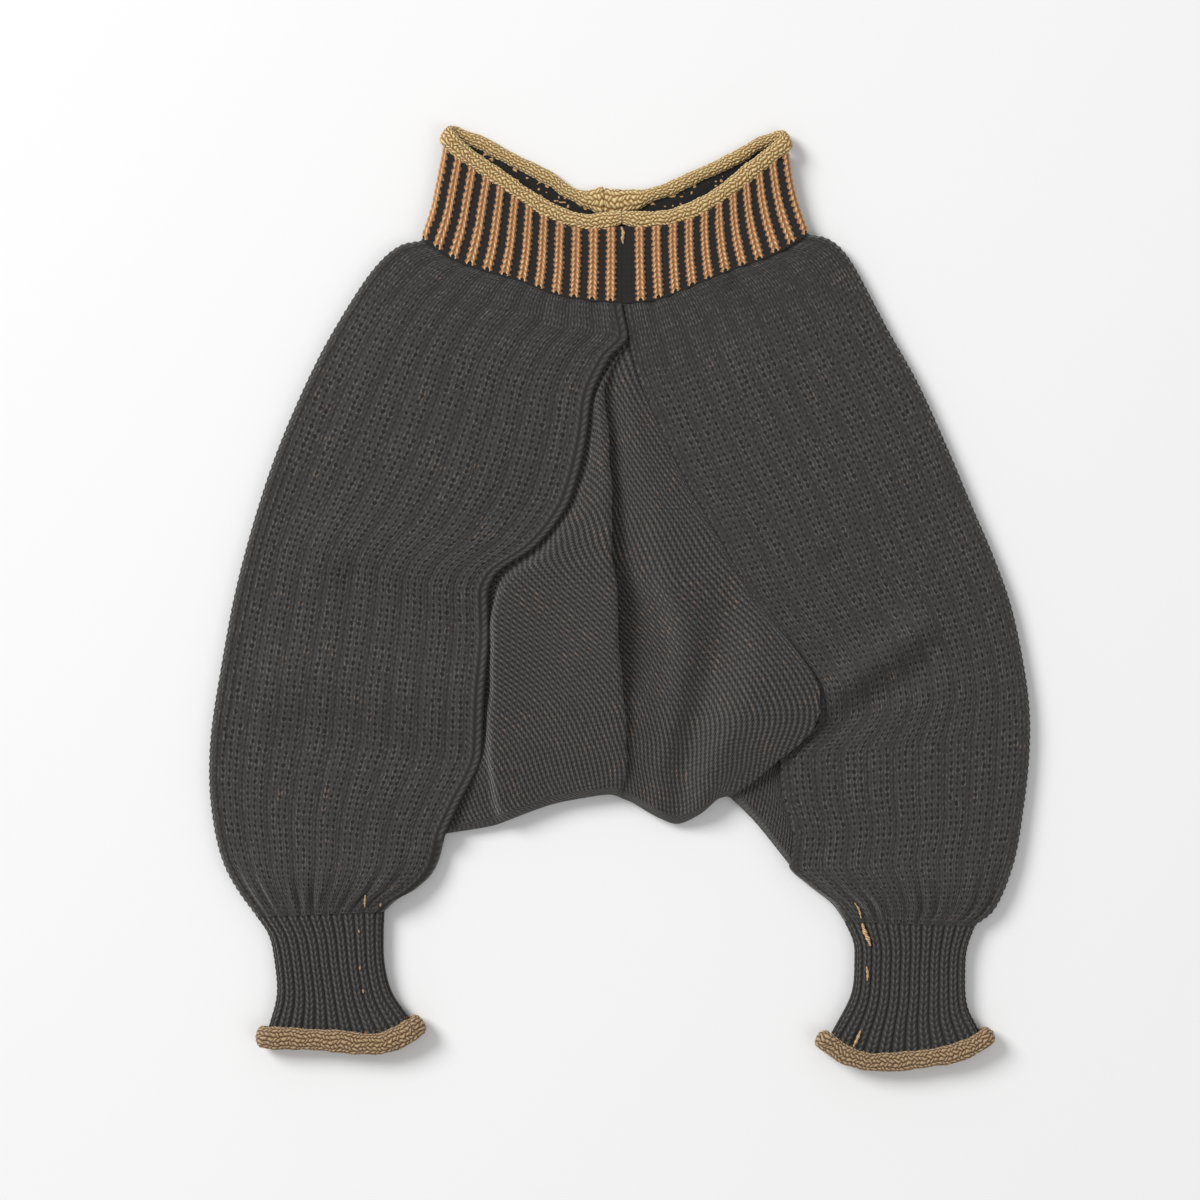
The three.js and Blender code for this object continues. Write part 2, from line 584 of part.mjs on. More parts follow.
// The gusset runs from its top point down the front, round the fold at the crotch and up the back
function gussetMesh() {
  const last = GUSSET_FOLDS.length - 1;
  const sideOf = (i) => (i === 0 ? 'left' : 'right');
  const fronts = GUSSET_FOLDS.map(
    (fold, i) => (fold.x ? foldLine(fold) : gussetEdge(fold, 'front', sideOf(i))));
  const backLeft = gussetEdge(GUSSET_FOLDS[0], 'back', 'left');
  const backRight = gussetEdge(GUSSET_FOLDS[last], 'back', 'right');
  const rows = [];
  GUSSET_FOLDS.forEach((fold, i) => {
    const count = i === last ? 1 : fold.rows;
    for (let step = 0; step < count; step += 1) rows.push({ fold: i, share: step / count });
  });
  const next = (i) => Math.min(last, i + 1);
  const frontLine = rows.map((row) => fronts[row.fold].map(
    (point, k) => mixPoint(point, fronts[next(row.fold)][k], row.share)));
  const across = shares(frontLine.map((line) => line[line.length - 1]));
  const backLine = frontLine.map((line, j) => {
    const foot = mixPoint(backLeft[GUSSET_STEPS], backRight[GUSSET_STEPS], across[j]);
    const crotch = line[GUSSET_STEPS];
    return line.map((_, k) => {
      const straight = mixPoint(backLeft[k], backRight[k], across[j]);
      const near = ease((k / GUSSET_STEPS - CROTCH_BLEND) / (1 - CROTCH_BLEND));
      return { x: straight.x + (crotch.x - foot.x) * near, y: straight.y + (crotch.y - foot.y) * near };
    });
  });
  const stations = evenColumns(GUSSET_STEPS);
  return foldedWall({
    rows: rows.length,
    cloth: BODY_CLOTH,
    edgeHeight: LEG_EDGE_HEIGHT,
    foldSteps: 6,
    stretch: (u, turn) => (u === 1 ? turn : u),
    columns: { outside: stations, inside: stations, under: stations },
    front: (u, row) => between(frontLine[row], u),
    back: (u, row) => between(backLine[row], u),
    top: (point, u, row) => {
      const here = GUSSET_FOLDS[rows[row].fold];
      const beyond = GUSSET_FOLDS[next(rows[row].fold)];
      const level = Math.min(1, u);
      return mix(through(GUSSET_LEVELS, here.top, level), through(GUSSET_LEVELS, beyond.top, level),
        ease(rows[row].share));
    },
  });
}

// Columns for the raised stripes: up one side of each, over its crest and down the other side.
// A stripe on the outer fold has no room for them.
function stripeColumns({ count, first, pitch }) {
  const columns = [{ u: 0 }];
  for (let stripe = 0; stripe < count; stripe += 1) {
    const middle = first + stripe * pitch;
    const crest = STRIPE.crest * pitch;
    const foot = STRIPE.foot * pitch;
    if (middle + foot < 1) {
      columns.push({ u: middle - foot }, { u: middle - crest, sink: -STRIPE.rise });
      columns.push({ u: middle + crest, sink: -STRIPE.rise }, { u: middle + foot });
    }
  }
  columns.push({ u: 1 });
  return columns;
}

// How far an edge of cloth lies from the centre line of its roll
const rollReach = (half) => half + SEAM_GAP + ROLL_CLEARANCE;
const EDGE_STEPS = 8;

// Top edge of a waistband, just inside its roll, from the centre to the side
function bandTop(side, face) {
  const line = WAIST_ROLL_LINE[side][face];
  const roll = smoothLine(face === 'front' ? line : [...line].reverse());
  const samples = Array.from({ length: EDGE_STEPS + 1 }, (_, i) => roll(i / (EDGE_STEPS + 1)));
  const edge = shifted(samples, outwards[side] * rollReach(WAIST_ROLL[face]));
  const corner = WAIST_SIDE[side][WAIST_SIDE[side].length - 1];
  return [{ x: WAIST_SEAM[side][face][0].x, y: edge[0].y }, ...edge.slice(1), corner];
}

function waistbandMesh(side) {
  const sideEdge = smoothLine(WAIST_SIDE[side]);
  const plan = {};
  for (const face of ['front', 'back']) {
    const bottom = WAIST_SEAM[side][face];
    const top = bandTop(side, face);
    const centre = BAND_ROWS.map((share) => mixPoint(bottom[0], top[0], share));
    const inner = shifted(centre, outwards[side] * (SEAM_GAP / 2));
    plan[face] = planBetween(inner, BAND_ROWS.map((share) => sideEdge(share)),
      smoothLine(bottom), smoothLine(top));
  }
  const lift = (point, row) => (row === 0 ? { x: point.x, y: point.y + SEAM_GAP } : point);
  return foldedWall({
    rows: BAND_ROWS.length,
    cloth: BAND_CLOTH,
    edgeHeight: BAND_EDGE_HEIGHT,
    foldSteps: 6,
    columns: {
      outside: stripeColumns(BAND_STRIPES[side]),
      inside: evenColumns(10),
      under: evenColumns(8),
    },
    front: (u, row) => lift(plan.front(u, row), row),
    back: (u, row) => lift(plan.back(u, row), row),
    top: (point, u) => BAND_EDGE_HEIGHT + BAND_SWELL * Math.sin(Math.PI * u),
  });
}

function cuffMesh(side) {
  const { inner, outer, bottom } = CUFF[side];
  const innerLine = smoothLine(inner);
  const outerLine = smoothLine(outer);
  const foot = smoothLine(bottom);
  const seam = CUFF_ROWS.map((share) => innerLine(share));
  const plan = planBetween(seam, CUFF_ROWS.map((share) => outerLine(share)),
    smoothLine([inner[0], outer[0]]), foot);
  const settle = (point, row) => (row === 0 ? { x: point.x, y: point.y - SEAM_GAP / 2 } : point);
  return foldedWall({
    rows: CUFF_ROWS.length,
    cloth: CUFF_CLOTH,
    edgeHeight: CUFF_EDGE_HEIGHT,
    edgeSteps: 3,
    foldSteps: 6,
    closed: () => 1,
    columns: {
      outside: ribColumns(CUFF_RIBS),
      inside: evenColumns(8),
      under: evenColumns(5),
    },
    front: (u, row) => settle(plan(u, row), row),
    back: (u, row) => settle(plan(u, row), row),
    top: () => CUFF_EDGE_HEIGHT,
  });
}

// A rolled edge: rings along the front line, round a turn down to the back line, and along that one
const RING_SIDES = 8;
const TURN_STEPS = 4;
const TANGENT_STEP = 0.01;

function lineRings(table, steps, upwards, half) {
  const line = smoothLine(table);
  return Array.from({ length: steps + 1 }, (_, i) => {
    const share = i / steps;
    const along = line(share + TANGENT_STEP).sub(line(share - TANGENT_STEP)).setZ(0).normalize();
    const side = new THREE.Vector3(-along.y, along.x, 0).multiplyScalar(upwards);
    return { centre: line(share), along, side, up: new THREE.Vector3(0, 0, upwards), half };
  });
}

// Rings round the half turn from the end of one line to the start of another, which runs back again
function turnRings(from, to) {
  const out = from.along.clone().sub(to.along).normalize();
  const reach = from.centre.distanceTo(to.centre) / 2;
  const rings = [];
  for (let step = 1; step < TURN_STEPS; step += 1) {
    const angle = (Math.PI * step) / TURN_STEPS;
    const across = (1 - Math.cos(angle)) / 2;
    const centre = from.centre.clone().lerp(to.centre, across)
      .addScaledVector(out, reach * Math.sin(angle));
    const along = to.centre.clone().sub(from.centre).multiplyScalar(Math.sin(angle) / 2)
      .addScaledVector(out, reach * Math.cos(angle)).normalize();
    const side = from.side.clone().lerp(to.side, across);
    side.addScaledVector(along, -side.dot(along)).normalize();
    const up = along.clone().cross(side);
    rings.push({ centre, along, side, up, half: mix(from.half, to.half, across) });
  }
  return rings;
}

function ringPoints(ring, height) {
  return Array.from({ length: RING_SIDES }, (_, i) => {
    const angle = (2 * Math.PI * (i + 0.5)) / RING_SIDES;
    const aside = ring.half * Math.cos(angle);
    const rise = height * Math.sin(angle);
    return {
      x: ring.centre.x + ring.side.x * aside + ring.up.x * rise,
      y: ring.centre.y + ring.side.y * aside + ring.up.y * rise,
      z: Math.max(0, ring.centre.z + ring.up.z * rise),
    };
  });
}

function sweptGeometry(rings, height, loop) {
  const positions = [];
  const faces = [];
  const rows = rings.map((ring) => ringPoints(ring, height).map((point) => {
    positions.push(point.x, point.y, point.z);
    return positions.length / 3 - 1;
  }));
  const count = loop ? rows.length : rows.length - 1;
  for (let j = 0; j < count; j += 1) {
    const here = rows[j];
    const there = rows[(j + 1) % rows.length];
    for (let i = 0; i < RING_SIDES; i += 1) {
      const k = (i + 1) % RING_SIDES;
      faces.push(here[i], here[k], there[k], here[i], there[k], there[i]);
    }
  }
  if (!loop) {
    const cap = (row, forwards) => {
      for (let i = 1; i + 1 < RING_SIDES; i += 1) {
        if (forwards) faces.push(row[0], row[i], row[i + 1]);
        else faces.push(row[0], row[i + 1], row[i]);
      }
    };
    cap(rows[0], false);
    cap(rows[rows.length - 1], true);
  }
  const geometry = new THREE.BufferGeometry();
  geometry.setAttribute('position', new THREE.Float32BufferAttribute(positions, 3));
  geometry.setIndex(faces);
  geometry.computeVertexNormals();
  return geometry;
}

// Centre lines of a cuff's roll, just below the cuff's bottom edge, as two layers
function cuffRollLines(side) {
  const foot = smoothLine(CUFF[side].bottom);
  const samples = Array.from({ length: EDGE_STEPS + 1 }, (_, i) => foot(i / EDGE_STEPS));
  const line = shifted(samples, outwards[side] * rollReach(CUFF_ROLL[side].front));
  const front = line.map((point) => ({ ...point, z: CUFF_ROLL_HEIGHT.front }));
  const back = line.map((point) => ({ ...point, z: CUFF_ROLL_HEIGHT.back })).reverse();
  return { front, back };
}

function rollMesh(lines, size, loop) {
  const front = lineRings(lines.front, ROLL_STEPS.front, 1, size.front);
  const back = lineRings(lines.back, ROLL_STEPS.back, -1, size.back);
  const rings = [...front, ...turnRings(front[front.length - 1], back[0]), ...back];
  if (loop) rings.push(...turnRings(back[back.length - 1], front[0]));
  return sweptGeometry(rings, size.height, loop);
}

// Faces of a closed body are turned to point outwards
function facingOut(geometry) {
  const p = geometry.attributes.position;
  const index = geometry.index.array;
  const corner = (i) => new THREE.Vector3().fromBufferAttribute(p, index[i]);
  let volume = 0;
  for (let i = 0; i < index.length; i += 3) {
    volume += corner(i).dot(corner(i + 1).cross(corner(i + 2)));
  }
  if (volume < 0) {
    for (let i = 0; i < index.length; i += 3) [index[i + 1], index[i + 2]] = [index[i + 2], index[i + 1]];
    geometry.computeVertexNormals();
  }
  return geometry;
}

const knit = (color, roughness) => new THREE.MeshStandardMaterial({ color, roughness, metalness: 0 });

const garment = new THREE.Group();
const add = (name, geometry, color) => {
  const mesh = new THREE.Mesh(facingOut(geometry), knit(color, 0.95));
  mesh.name = name;
  garment.add(mesh);
};

add('gusset', gussetMesh(), CHARCOAL);
for (const side of ['left', 'right']) {
  add(`leg_${side}`, legMesh(side), CHARCOAL);
  add(`waistband_${side}`, waistbandMesh(side), OCHRE);
  add(`waist_roll_${side}`, rollMesh(WAIST_ROLL_LINE[side], WAIST_ROLL, false), GOLD);
  add(`cuff_${side}`, cuffMesh(side), CHARCOAL);
  add(`cuff_roll_${side}`, rollMesh(cuffRollLines(side), CUFF_ROLL[side], true), TAN);
}

// The origin is under the middle of the garment
const box = new THREE.Box3().setFromObject(garment);
garment.position.set(-(box.min.x + box.max.x) / 2, -(box.min.y + box.max.y) / 2, -box.min.z);
garment.updateMatrixWorld(true);

export default garment;
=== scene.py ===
# Toddler's knitted harem pants, laid flat with the front up.
# Tables are in millimetres in the garment's own drawing, and meshes are in metres in the model's frame.
import math
from types import SimpleNamespace

import bpy
import numpy as np
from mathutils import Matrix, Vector


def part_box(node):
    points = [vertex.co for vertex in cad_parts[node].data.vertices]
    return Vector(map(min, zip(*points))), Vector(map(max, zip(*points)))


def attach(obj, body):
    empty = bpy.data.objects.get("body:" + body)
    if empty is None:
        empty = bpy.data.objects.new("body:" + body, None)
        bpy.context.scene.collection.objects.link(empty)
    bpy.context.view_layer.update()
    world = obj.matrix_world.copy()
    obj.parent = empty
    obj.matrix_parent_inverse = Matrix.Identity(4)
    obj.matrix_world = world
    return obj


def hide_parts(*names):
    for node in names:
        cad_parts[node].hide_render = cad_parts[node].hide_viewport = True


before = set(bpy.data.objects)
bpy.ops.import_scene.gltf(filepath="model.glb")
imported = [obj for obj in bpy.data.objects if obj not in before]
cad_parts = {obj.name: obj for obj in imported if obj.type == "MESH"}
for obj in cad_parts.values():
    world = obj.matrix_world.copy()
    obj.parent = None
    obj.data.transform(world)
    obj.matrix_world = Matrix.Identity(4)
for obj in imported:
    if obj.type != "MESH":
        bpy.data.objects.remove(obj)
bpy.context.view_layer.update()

MM = 0.001

# Driving sizes of the cloth. The solids are SEAM_GAP apart at their seams, and the cloth here touches
SEAM_GAP = 0.34
SEAM_TOUCH = 0.04
BODY_CLOTH = 3.2
BAND_CLOTH = 3.6
CUFF_CLOTH = 3.2
BACK_CLOTH = 2.8
ROOM_INSIDE = 3.6
FOLD_RUN = 4.2
LEG_EDGE_HEIGHT = 8
BAND_EDGE_HEIGHT = 9
CUFF_EDGE_HEIGHT = 8.4

# Stitches of the legs: wales across the front, courses from the waist to the cuff
LEG_WALES = 36
LEG_COURSES = 110
LEG_RIB = SimpleNamespace(wales=4, depth=0.5, half=0.85)
# Courses at a leg's ends where its ribs deepen, and the courses over which they do
LEG_TOP = SimpleNamespace(courses=18, blend=14, deeper=0.2)
LEG_FOOT = SimpleNamespace(courses=14, blend=12, deeper=1.4, end_blend=5)
GATHERS = SimpleNamespace(wales=3.1, depth=1.1, sway=0.12, sway_rate=0.21)
LEG_SWELL = 0.15
KNOT_RISE = 0.55
# Painted shade of a pressed crease along the left leg's outer fold
CREASE_SHADE = SimpleNamespace(wale=34.9, half=0.3, core=0.09, first=36, last=88, blend=8, depth=0.7)
# Last wale of the bold column of stitches along the gusset's seam, which shows on the left leg alone
CHAIN_WALES = {"left": 0.8, "right": -2}
CHAIN = SimpleNamespace(
    rise=0.9, courses=0.9, plain=0.6, stitch=0.7, overlap=0.1, blend=0.7,
    groove=0.8, groove_place=0.4, groove_half=0.5,
)

# Stitches of the other pieces
GUSSET_WALES = 95
GUSSET_COURSES = 106
BAND_COURSES = 14
STRIPE_HALF = 0.265
STRIPE_RISE = 1.0
STRIPE_SLOPE = 0.06
BAND_STITCH_DEPTH = 0.9
CUFF_RIBS = 10
CUFF_COURSES = 20
CUFF_GROOVE = SimpleNamespace(depth=0.7, half=0.17)
CUFF_STITCH_DEPTH = 0.55
CUFF_STITCH_LEVEL = 0.4
ROLL_STITCH = 2.3
ROLL_ROW = 2.0
ROLL_STITCH_DEPTH = 0.65

# Mesh rows to a course and mesh columns to a wale, or to a stripe on the waistband
LEG_MESH = SimpleNamespace(rows=4, columns=4)
BAND_MESH = SimpleNamespace(rows=8, columns=20, stripes=12)
CUFF_MESH = SimpleNamespace(rows=5, columns=12)
GUSSET_MESH = SimpleNamespace(rows=281, columns=220)

# Colours, as linear light. Each yarn's own colour comes with a darker one for painted shade, and some with
# a lighter one for painted highlights; the inside's charcoal is its own colour darkened with painted shade.
CHARCOAL = (0.041, 0.0395, 0.037)
CHARCOAL_HIGHLIGHT = (0.096, 0.092, 0.085)
CHARCOAL_SHADE = (0.016, 0.0152, 0.014)
CHARCOAL_INSIDE_SHADED = (0.014, 0.0135, 0.013)
WARM = (0.25, 0.155, 0.115)
OCHRE = (0.53, 0.30, 0.138)
OCHRE_HIGHLIGHT = (0.80, 0.57, 0.30)
OCHRE_SHADE = (0.31, 0.128, 0.052)
GOLD = (0.68, 0.52, 0.26)
GOLD_SHADE = (0.20, 0.095, 0.020)
TAN = (0.43, 0.30, 0.17)
TAN_SHADE = (0.085, 0.045, 0.020)

# x and y of each leg's outer outline, from the waist seam down to the cuff
LEG_OUTLINE = {
    "left": [
        (-99.5, 180), (-110, 177.5), (-122, 167.5), (-144.5, 133), (-165, 91), (-180.5, 49),
        (-192, 7), (-200, -35), (-205.5, -77), (-204.5, -105), (-198, -133), (-182, -158.5),
    ],
    "right": [
        (94.5, 183), (104, 181), (113, 173.5), (135.5, 133), (151, 105), (175.5, 49), (187.5, 21),
        (197, -7), (204.5, -49), (205, -77), (202, -105), (196.5, -134), (187, -155), (178, -163),
    ],
}

# x and y of each leg's inner edge on the front: centre seam, gusset seam, then inseam to the cuff
FRONT_SEAM = {
    "left": [
        (1, 148), (2.5, 140), (4, 131.5), (-5, 121), (-14.5, 99.5), (-16.5, 83), (-24.5, 51),
        (-32.5, 37.5), (-42, 27), (-62.5, 12), (-66, 3), (-65.5, -14.5), (-68, -49), (-69, -75.5),
        (-81.5, -104), (-87.5, -117.5), (-90, -128), (-93.5, -136), (-102, -144.5),
        (-112, -150.5), (-118, -156),
    ],
    "right": [
        (1, 148), (2.5, 140), (4, 131.5), (8.5, 114), (16.5, 94.5), (31.5, 62.5), (47.5, 35),
        (67.5, -1), (86.5, -28), (98, -48.5), (99, -60), (90, -69), (80, -79), (81.5, -98),
        (86.5, -118.5), (85, -133.5), (94.5, -143), (106.5, -152.5), (112.5, -161),
    ],
}

# The same edge on the hidden back, which is the front's own below the gusset
BACK_SEAM = {
    "left": [
        (-8, 158), (-5.5, 146), (-2, 131.5), (-18, 84), (-45, 26), (-63, -40), (-74, -85),
        *FRONT_SEAM["left"][14:],
    ],
    "right": [
        (-8, 158), (-5.5, 146), (-2, 131.5), (22, 84), (50, 26), (72, -40),
        *FRONT_SEAM["right"][13:],
    ],
}

# Heights above the gusset at which rows of the front and of the back meet
ABOVE_GUSSET = {"front": (131.5, 140, 148), "back": (131.5, 146, 158)}
GUSSET_TOP = 130.5
GUSSET_FOOT = {"left": -117.5, "right": -133.5}

# x and y of the seam between each leg and the waistband, from the centre to the side
WAIST_SEAM = {
    "left": {
        "front": [
            (1, 148), (-16, 149.5), (-33, 152.5), (-50, 159), (-66, 163.5), (-83, 169.5), (-99.5, 180),
        ],
        "back": [(-8, 158), (-40, 161), (-83, 170), (-99.5, 180)],
    },
    "right": {
        "front": [
            (1, 148), (19, 150), (36, 156.5), (53, 163.5), (70, 169.5), (83, 175.5), (94.5, 183),
        ],
        "back": [(-8, 158), (36, 161), (83, 175.5), (94.5, 183)],
    },
}

# x and y of the waistband's side edge, from the waist seam up to the roll
WAIST_SIDE = {
    "left": [(-99.5, 180), (-94, 196.5), (-91.5, 208), (-87.7, 227)],
    "right": [(94.5, 183), (89, 198), (86, 210), (84, 224.2)],
}

# Ochre stripes: the first one's centre and their pitch, as shares of the front's width
STRIPES = {
    "left": SimpleNamespace(first=0.056, pitch=0.0893),
    "right": SimpleNamespace(first=0.098, pitch=0.0936),
}

# x and y of each cuff's inner and outer edge, down to the roll, and of its bottom edge
CUFF = {
    "left": {
        "inner": [(-118, -156), (-118.5, -168), (-118, -182), (-114.5, -196), (-106, -209)],
        "outer": [(-182, -158.5), (-176, -168), (-173, -182), (-172, -198), (-176, -214)],
        "bottom": [(-106, -209), (-112.5, -214), (-122, -217.5), (-144, -216), (-176, -214)],
    },
    "right": {
        "inner": [(112.5, -161), (117, -171.5), (117.5, -181), (116, -197), (106, -217)],
        "outer": [(178, -163), (174, -174.5), (173, -187.5), (174, -203), (180, -216)],
        "bottom": [
            (106, -217), (112.5, -222.5), (121, -226.5), (133, -227.5), (150, -226),
            (168, -222.5), (180, -216),
        ],
    },
}

# Lengthwise lines over the gusset's front, left to right: x, y and height, from its top to the crotch
GUSSET_LINES = {
    "foot of the left fold": [
        (3.9, 130.5, 8), (-12.6, 104, 8), (-15, 82, 8), (-19.8, 60, 8.2), (-27, 42, 8.4), (-41, 25, 8.6),
        (-60.5, 10, 8.6), (-63.8, -3, 8.4), (-64.6, -20, 8.4), (-66.8, -54, 8.6), (-67, -77, 8.6),
        (-66, -98, 7.6), (-63, -113, 6.8),
    ],
    "crest of the left fold": [
        (3.95, 130.5, 8), (-12, 104, 8.6), (-13, 82, 9.6), (-16.4, 60, 10.4), (-21.5, 42, 11.2),
        (-33, 26, 12), (-51, 12, 12.8), (-59, 3, 13.4), (-61, -7, 13.8), (-61.2, -22, 13.8),
        (-62.6, -54, 13.6), (-62.4, -77, 13.4), (-59.8, -99, 12.4), (-55, -110, 10.2),
    ],
    "flat between the folds": [
        (3.97, 130.5, 8), (-11.3, 104, 9.4), (-11, 82, 10.8), (-12.8, 60, 11.8), (-15, 42, 12.6),
        (-21, 24, 13.2), (-32, 8, 12.8), (-37, -8, 12), (-38, -25, 11.6), (-38, -54, 11.6),
        (-36, -80, 11.4), (-31, -101.5, 9.8),
    ],
    "crest of the lip": [
        (4, 130.5, 8), (-5.6, 115, 9.2), (-10.4, 103, 10.6), (-9, 88, 12), (-8, 71.5, 13), (-7.5, 49, 14),
        (-7, 26, 14.6), (-5, 3, 15.6), (-4.5, -14.5, 15.8), (-3, -26, 15.4), (-1.5, -55, 13.2),
        (0, -83.5, 11.8), (-6, -97.5, 10.2),
    ],
    "edge of the lip": [
        (4.02, 130.5, 8), (-4.5, 114.6, 8.6), (-8.3, 103.5, 9.6), (-5.8, 88, 10.8), (-4.8, 71.5, 11.8),
        (-4.3, 49, 12.2), (-3.8, 26, 13.2), (-1.5, 3, 14.2), (-1.3, -14.5, 14.4), (0.2, -26, 13.8),
        (2, -55, 11.8), (3.5, -83.5, 10.8), (-1, -98.5, 9.8),
    ],
    "under the lip": [
        (4.04, 130.5, 7.9), (-4.7, 114, 7.2), (-8.6, 102.5, 6.8), (-6.8, 88, 6.6), (-6, 71.5, 6.4),
        (-5.6, 49, 6.8), (-5.1, 26, 6), (-2.4, 3, 5.2), (-2, -14.5, 5), (-0.6, -26, 5.4),
        (1.6, -55, 8.6), (3.4, -83.5, 8.8), (1, -99.3, 8.2),
    ],
    "floor of the valley": [
        (4.06, 130.5, 7.8), (-3, 112, 6.8), (-4.6, 102, 6.2), (-2.2, 88, 7), (-1.2, 71.5, 7.2),
        (-0.8, 49, 7), (1, 26, 5.8), (6, 3, 4.8), (9.5, -14.5, 4.6), (11, -26, 4.8), (9, -55, 7.8),
        (7.2, -83.5, 8.2), (6, -101.3, 7.6),
    ],
    "slope beside the valley": [
        (4.08, 130.5, 7.8), (0, 112, 7.6), (0.8, 100, 8), (2.8, 84, 8.6), (4.6, 68, 9), (6.6, 48, 9.4),
        (9.6, 26, 9.2), (15, 4, 7.8), (20, -14, 6.4), (21, -28, 6.2), (17, -55, 7.8), (13, -84, 8.2),
        (13, -105.5, 7.4),
    ],
    "shoulder beside the valley": [
        (4.1, 130.5, 7.8), (3, 112, 8.4), (5, 98, 9.4), (9, 82, 10.6), (14, 64, 11.6), (19, 46, 12.4),
        (23.5, 28, 13.4), (27.5, 9, 14), (31.5, -7, 12.6), (33, -22, 11), (29, -50, 9.8), (22, -80, 9.4),
        (20, -109.3, 8.4),
    ],
    "broad trough": [
        (4.12, 130.5, 7.8), (6, 112, 8.4), (10, 96, 9), (17, 76, 9.8), (25, 56, 10.6), (34, 36, 11.6),
        (43, 18, 12.6), (50, 6, 11.8), (49.5, -8, 8.8), (47.5, -24, 6.8), (41, -50, 5.8), (32, -80, 6),
        (29, -112.3, 7.4),
    ],
    "bulge": [
        (4.14, 130.5, 7.8), (7.5, 112, 8.2), (13, 95, 8.6), (22, 74, 9.2), (33, 52, 9.8), (46, 30, 10.4),
        (60, 8, 11.6), (68, -8, 13.4), (70.5, -24, 15.4), (68, -42, 16.6), (60, -62, 16.2), (48, -84, 14.4),
        (40, -107.5, 10.4),
    ],
    "crest of the right fold": [
        (4.16, 130.5, 7.8), (8.5, 112, 8), (15.3, 94.5, 8.2), (26.5, 70, 8.4), (39, 46, 8.8),
        (54, 20, 9.2), (70, -4, 10), (84, -22, 11.6), (93, -38, 13), (94.5, -52, 13.6),
        (85, -65.5, 13.8), (70.5, -79.5, 13.2), (57, -90, 12), (50, -99.5, 10.2),
    ],
    "edge of the right fold": [
        (4.18, 130.5, 7.8), (9, 112, 7.8), (16.3, 94.5, 7.8), (28.5, 68, 7.8), (42.5, 43, 8),
        (59, 14, 8.4), (75, -9, 9.2), (89, -27, 10.4), (98.8, -43, 11.8), (99.6, -58, 12),
        (91, -70.5, 11.8), (77, -81.5, 11.6), (63.5, -92.5, 10.8), (53.5, -98.5, 9.2),
    ],
    "under the right fold": [
        (4.19, 130.5, 7.8), (9.3, 112, 7.6), (16.8, 94, 7.6), (29.5, 67, 7.4), (44, 41, 7.4),
        (61, 12, 7.4), (77, -11, 7.6), (89.6, -29, 8.4), (97.6, -46, 9.6), (98, -58, 9.8), (89.5, -69, 9.4),
        (76, -79.5, 8.8), (62.6, -91, 7.8), (55, -99, 6.8),
    ],
    "strip beside the right seam": [
        (4.2, 130.5, 7.8), (9.6, 111, 7.7), (17.3, 93.5, 7.7), (30.3, 66, 7.6), (45.3, 39.5, 7.6),
        (62.5, 10, 7.6), (79, -13, 7.8), (91, -32, 8.2), (97.8, -50, 8.4), (96.6, -61, 8.2),
        (88.6, -70, 7.8), (79, -80, 6.6), (72, -96, 6.6), (67, -110, 6.8),
    ],
}
GUSSET_SEAM_HEIGHTS = {
    "left": [8, 8, 8, 8, 8, 7.8, 7.6, 7.6, 7.6, 7.2, 6.8],
    "right": [7.8, 7.8, 7.7, 7.6, 7.5, 7.3, 7, 6.8, 6.6, 6.8, 7],
}
GUSSET_INSIDE_HEIGHT = 3.2
GUSSET_TUCK = 0.6
# Sideways waver of the gusset's lines: how far, and the lengths and phases of its two waves
GUSSET_WAVER = SimpleNamespace(
    reach=0.45, long=8.5, long_phase=0.4, short=3.7, short_share=0.6, calm=0.2,
)
# Share of the way down at which the gusset's width is measured, and where its back starts to reach the foot
GUSSET_WIDEST = 0.75
GUSSET_NEAR_FOOT = 0.5
# Share of the square's stitches that the front shows, down to the crotch fold
GUSSET_FRONT_SHARE = 0.985
GUSSET_SMOOTHING = 20

# Soft folds of the legs' fronts: start, end, half width and rise
LEG_FOLDS = {
    "left": [
        ((-134, 9), (-72, -16), 9, -1.4),
        ((-140, 32), (-78, 14), 14, 1.4),
        ((-160, -65), (-76, -82), 11, -1.2),
        ((-165, -36), (-80, -50), 15, 1.4),
        ((-115, 118), (-70, 70), 24, 1),
        ((-180, -140), (-118, -140), 13, 1.6),
    ],
    "right": [
        ((150, -15), (111, -42), 8, 2),
        ((152, -34), (110, -62), 8, -1.4),
        ((108, 20), (136, -2), 6, -1),
        ((58, 156), (92, 122), 5, -1.1),
        ((112, 165), (132, 128), 6, -1),
        ((66, 110), (120, 60), 24, 1),
        ((112, -140), (180, -143), 13, 1.6),
    ],
}
FOLD_GAIN = 2.3
FOLD_CALM = 0.18
LEG_DOME = SimpleNamespace(rise=1.6, start=0.1, end_run=16)
STANDING_EDGE = {"left": 1.5, "right": 0.4}
STANDING_WIDTH = 0.12
CLOSED_RUN = 8
SETTLE_RUN = 6
BAND_SWELL = 0.4
BAND_SETTLE = 10

# Rolled edges: half widths of their oval sections on the front and the back, and their half height
WAIST_ROLL = SimpleNamespace(front=4.2, back=3.4, height=2.7)
CUFF_ROLL = {
    "left": SimpleNamespace(front=5.4, back=5.4, height=3),
    "right": SimpleNamespace(front=4.6, back=4.6, height=3),
}
CUFF_ROLL_HEIGHT = SimpleNamespace(front=9.2, back=2.8)
ROLL_TUCK = 0.8
CUFF_ROLL_TUCK = 1.2
CUFF_ROLL_DROOP = 1.2
# How close the rings of a roll are, so many to a millimetre, and how many go round its turns
ROLL_RINGS = SimpleNamespace(front=2.2, back=1.5, turn=24)

